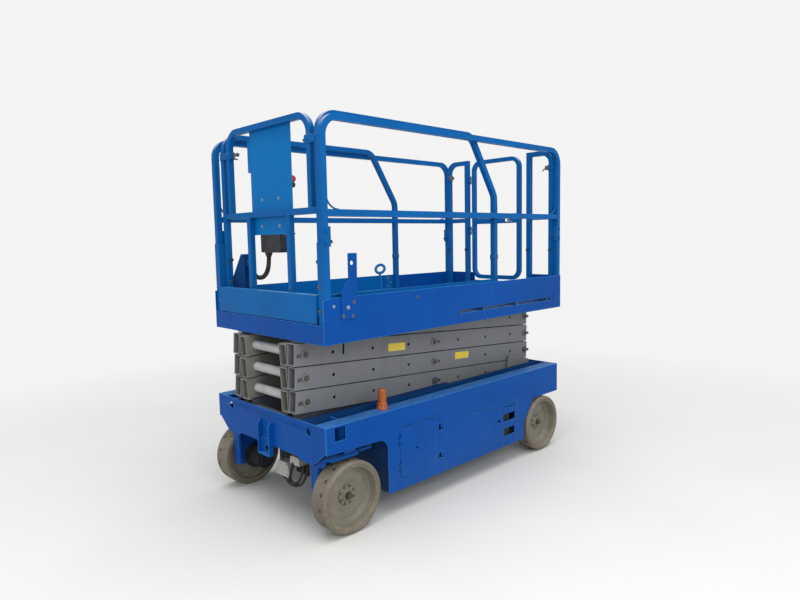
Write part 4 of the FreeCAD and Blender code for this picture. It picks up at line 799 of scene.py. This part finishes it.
HOSES = (((1.024, 0.020, 0.208), (1.028, 0.024, 0.165), (1.020, 0.110, 0.150), (1.012, 0.190, 0.190),
          (0.998, 0.196, 0.260)),
         ((1.024, 0.062, 0.208), (1.030, 0.066, 0.178), (1.034, 0.130, 0.172), (1.020, 0.176, 0.220),
          (0.998, 0.176, 0.300)),
         ((1.040, 0.128, 0.302), (1.058, 0.124, 0.262), (1.048, 0.090, 0.190), (1.010, -0.060, 0.180),
          (0.992, -0.075, 0.250)))
bm = bmesh.new()
for hose in HOSES:
    line = nurbs_line(hose, 10)
    sweep(bm, line, 0.0085, 12)
    lathe(bm, [(0, -0.006), (0.012, -0.006), (0.012, 0.014), (0, 0.014)], hose[0],
          Vector(hose[1]) - Vector(hose[0]), 6)
obj_from("valve_hoses", bm, M["rubber"], "chassis", smooth=True)



def heads(name, mat, body, items):
    """One piece of many bolt heads: (place, axis, radius, height)."""
    bm = bmesh.new()
    for place, axis, r, h in items:
        hexhead(bm, place, axis, r, h)
    obj_from(name, bm, mat, body)


# Skirt screws, strip bracket screws and the bolts of the corner stanchions
bright = [((0.961, 0.576, 1.247), (0, 1, 0), 0.0075, 0.005)]
dull = [((x, 0.576, z), (0, 1, 0), 0.0065, 0.004) for x, z in ((0.995, 1.203), (0.930, 1.200),
                                                               (0.920, 1.274))]
for s in (1, -1):
    bright.append(((1.052, s * 0.570, 1.260), (0, s, 0), 0.0055, 0.004))
    dull += [((1.110, s * 0.527, z), (1, 0, 0), 0.0075, 0.006) for z in (1.364, 1.235)]
    dull += [((x, s * 0.570, 1.262), (0, s, 0), 0.0050, 0.003) for x in (0.43, -0.29, -1.02)]
    dull += [((-1.141, s * 0.480, z), (-1, 0, 0), 0.0065, 0.005) for z in (1.12, 1.27)]
heads("skirt_screws", M["zinc"], "platform", bright)
heads("skirt_bolts_dull", M["steel_dark"], "platform", dull)

# Fold joints: nuts on the cross pins, a lock nut and a pull knob at each post's foot
nuts = []
knobs = bmesh.new()
for s in (1, -1):
    for x, ends in ((1.087, 1), (-1.119, -1)):
        for z in (1.592, 1.653):
            nuts.append(((x, s * 0.570, z), (0, s, 0), 0.0075, 0.005))
        nuts.append(((x + 0.004 * ends, s * 0.566, 1.579), (0, s, 0), 0.0060, 0.008))
        lathe(knobs, [(0, 0), (0.004, 0), (0.004, 0.012), (0.009, 0.014), (0.0095, 0.022), (0.006, 0.026),
                      (0, 0.026)],
              (x - 0.0265 * ends, s * 0.5485, 1.596), (-ends, 0, 0), 14)
        lathe(knobs, [(0, 0), (0.005, 0), (0.0055, 0.005), (0.002, 0.007), (0, 0.007)],
              (x, s * 0.529, 1.589), (0, -s, 0), 12)
    for y in (0.311, 0.5105):
        for z in (1.505, 1.530):
            nuts.append(((-1.107, s * y - 0.0175, z), (0, -1, 0), 0.0065, 0.005))
            nuts.append(((-1.107, s * y + 0.0175, z), (0, 1, 0), 0.0065, 0.005))
        lathe(knobs, [(0, 0), (0.004, 0), (0.004, 0.010), (0.009, 0.012), (0.0095, 0.019), (0.006, 0.022),
                      (0, 0.022)],
              (-1.0895, s * y, 1.498), (1, 0, 0), 14)
heads("fold_nuts", M["blue_rail"], "platform", nuts)
obj_from("fold_knobs", knobs, M["black"], "platform", smooth=True)
nuts = []
knobs = bmesh.new()
for s in (1, -1):
    nuts.append(((1.0745, s * 0.497, 1.470), (1, 0, 0), 0.0065, 0.005))
    nuts.append(((1.0745, s * 0.497, 1.839), (1, 0, 0), 0.0050, 0.003))
    nuts.append(((1.057, s * 0.4725, 1.355), (0, -s, 0), 0.0065, 0.005))
    nuts.append(((1.0745, s * 0.207, 1.340), (1, 0, 0), 0.0055, 0.004))
    lathe(knobs, [(0, 0), (0.005, 0), (0.005, 0.014), (0.010, 0.016), (0.0105, 0.026), (0.007, 0.030),
                  (0, 0.030)],
          (1.057, s * 0.4725, 1.491), (0, -s, 0), 14)
    nuts.append(((-0.4155, s * 0.510, 1.467), (0, s, 0), 0.0065, 0.005))
    nuts.append(((-0.4155, s * 0.470, 1.467), (0, -s, 0), 0.0065, 0.005))
heads("extension_nuts", M["steel_dark"], "extension", nuts)
obj_from("extension_knobs", knobs, M["black"], "extension", smooth=True)

# Clips: cross bolts, sprung pins and their levers
bolts = []
levers = bmesh.new()
for s in (1, -1):
    bolts.append(((1.0785, s * 0.419, 2.130), (1, 0, 0), 0.0060, 0.004))
    bolts.append(((1.0785, s * 0.490, 2.130), (1, 0, 0), 0.0060, 0.004))
heads("clip_bolts", M["blue_rail"], "extension", bolts)
lathe(levers, [(0, 0), (0.0055, 0), (0.0055, 0.050), (0.011, 0.052), (0.012, 0.066), (0.009, 0.072),
               (0, 0.072)],
      (1.057, -0.3895, 2.130), (0, 1, 0), 16)
sweep(levers, [(1.057, -0.352, 2.130), (1.070, -0.345, 2.116), (1.074, -0.325, 2.102),
               (1.074, -0.300, 2.098)], 0.0045, 8)
lathe(levers, [(0, 0), (0.0055, 0), (0.0055, 0.018), (0.010, 0.020), (0.010, 0.026), (0, 0.026)],
      (1.057, 0.3895, 2.130), (0, -1, 0), 16)
obj_from("clip_levers_front", levers, M["steel_dark"], "extension", smooth=True)
levers = bmesh.new()
for s in (1, -1):
    y = s * 0.5105
    lathe(levers, [(0, 0), (0.0055, 0), (0.0055, 0.012), (0.010, 0.014), (0.011, 0.024), (0.008, 0.028),
                   (0, 0.028)],
          (-1.107, s * 0.489, 2.114), (0, -s, 0), 16)
    prism(levers, rounded(y - s * 0.030 - 0.014, y - s * 0.030 + 0.014, 2.098, 2.130, 0.005, 3), "x",
          -1.0855, -1.0805)
    sweep(levers, [(-1.083, y - s * 0.030, 2.114), (-1.078, y - s * 0.045, 2.108),
                   (-1.078, y - s * 0.062, 2.092)], 0.0045, 8)
obj_from("clip_levers_rear", levers, M["steel_dark"], "platform", smooth=True)

# Gate: hinge bolts and straps, latch bar in its slot
bolts = []
straps = bmesh.new()
for z in (1.658, 2.080):
    for dz in (-0.010, 0.010):
        bolts.append(((-1.102, -0.258, z + dz), (1, 0, 0), 0.0050, 0.004))
    prism(straps, rounded(-0.290, -0.245, z - 0.014, z + 0.014, 0.004, 3), "x", -1.1020, -1.0995)
    lathe(straps, [(0.0120, 0), (0.0120, 0.003), (0.0085, 0.004), (0, 0.004)], (-1.107, -0.2815, z + 0.032),
          (0, 0, 1), 18)
heads("gate_hinge_bolts", M["zinc"], "gate", bolts)
obj_from("gate_straps", straps, M["zinc"], "gate")
bm = bmesh.new()
prism(bm, rounded(0.120, 0.246, 1.737, 1.757, 0.003, 3), "x", -1.1130, -1.1060)
prism(bm, rounded(0.112, 0.140, 1.729, 1.765, 0.006, 3), "x", -1.0910, -1.0870)
dome(bm, (-1.087, 0.126, 1.747), (1, 0, 0), 0.010, 0.012, 18)
for y, z in ((0.150, 1.722), (0.150, 1.772), (0.195, 1.772)):
    dome(bm, (-1.091, y, z), (1, 0, 0), 0.0055, 0.004, 12)
obj_from("gate_latch", bm, M["zinc"], "gate", smooth=True)

# Control box: knob below the stop button, joystick with its boot, switches, blank plates
bm = bmesh.new()
lathe(bm, [(0, 0), (0.010, 0), (0.010, 0.014), (0.016, 0.016), (0.017, 0.030), (0.012, 0.037), (0, 0.038)],
      (0.9475, 0.060, 1.925), (0, 1, 0), 24)
lathe(bm, [(0.024, 0), (0.024, 0.006), (0.018, 0.010), (0.015, 0.016), (0.017, 0.019), (0.012, 0.024),
           (0.014, 0.027), (0.009, 0.032),
           (0.0065, 0.036), (0.0065, 0.062), (0.014, 0.070), (0.0155, 0.094), (0.010, 0.104), (0, 0.105)],
      (0.9380, -0.060, 2.060), (-0.72, 0, 0.69), 28)
for y in (0.005, 0.035):
    lathe(bm, [(0, 0), (0.008, 0), (0.008, 0.004), (0.003, 0.005), (0.0035, 0.020), (0, 0.022)],
          (0.9475, y, 2.030), (-1, 0, 0), 14)
obj_from("box_controls", bm, M["black"], "extension", smooth=True)
bm = bmesh.new()
for y, z in ((-0.203, 1.942), (0.052, 1.942), (-0.203, 2.130), (0.052, 2.130)):
    dome(bm, (0.9475, y, z), (-1, 0, 0), 0.005, 0.003, 12)
for y in (-0.13, 0.0):
    hexhead(bm, (0.9985, y, 2.2049), (0, 0, 1), 0.0055, 0.004)
obj_from("box_screws", bm, M["zinc"], "extension", smooth=False)
bm = bmesh.new()
prism(bm, rounded(-0.190, -0.100, 1.955, 2.015, 0.003, 3), "x", 0.9463, 0.9475)
prism(bm, rounded(-0.010, 0.045, 1.958, 2.000, 0.003, 3), "x", 0.9463, 0.9475)
obj_from("box_blank_plates", bm, M["yellow"], "extension")

# Toe board of the far side: its lap seam and screws
bm = bmesh.new()
prism(bm, [(-0.302, 1.216), (-0.268, 1.216), (-0.268, 1.313), (-0.302, 1.313)], "y", -0.5030, -0.5015)
obj_from("toe_seam", bm, M["blue"], "extension", bevel=0.0006)
heads("toe_screws", M["zinc"], "extension", [((x, s * 0.503, z), (0, -s, 0), 0.0050, 0.003)
      for s in (1, -1) for x, z in ((-0.369, 1.256), (-0.340, 1.292), (-0.345, 1.228), (0.30, 1.262),
                                    (0.86, 1.262))])

# Floor
bm = bmesh.new()
s = 30
bm.faces.new([bm.verts.new(p) for p in ((-s, -s, 0), (s, -s, 0), (s, s, 0), (-s, s, 0))])
floor = obj_from("floor", bm, M["floor"], None)
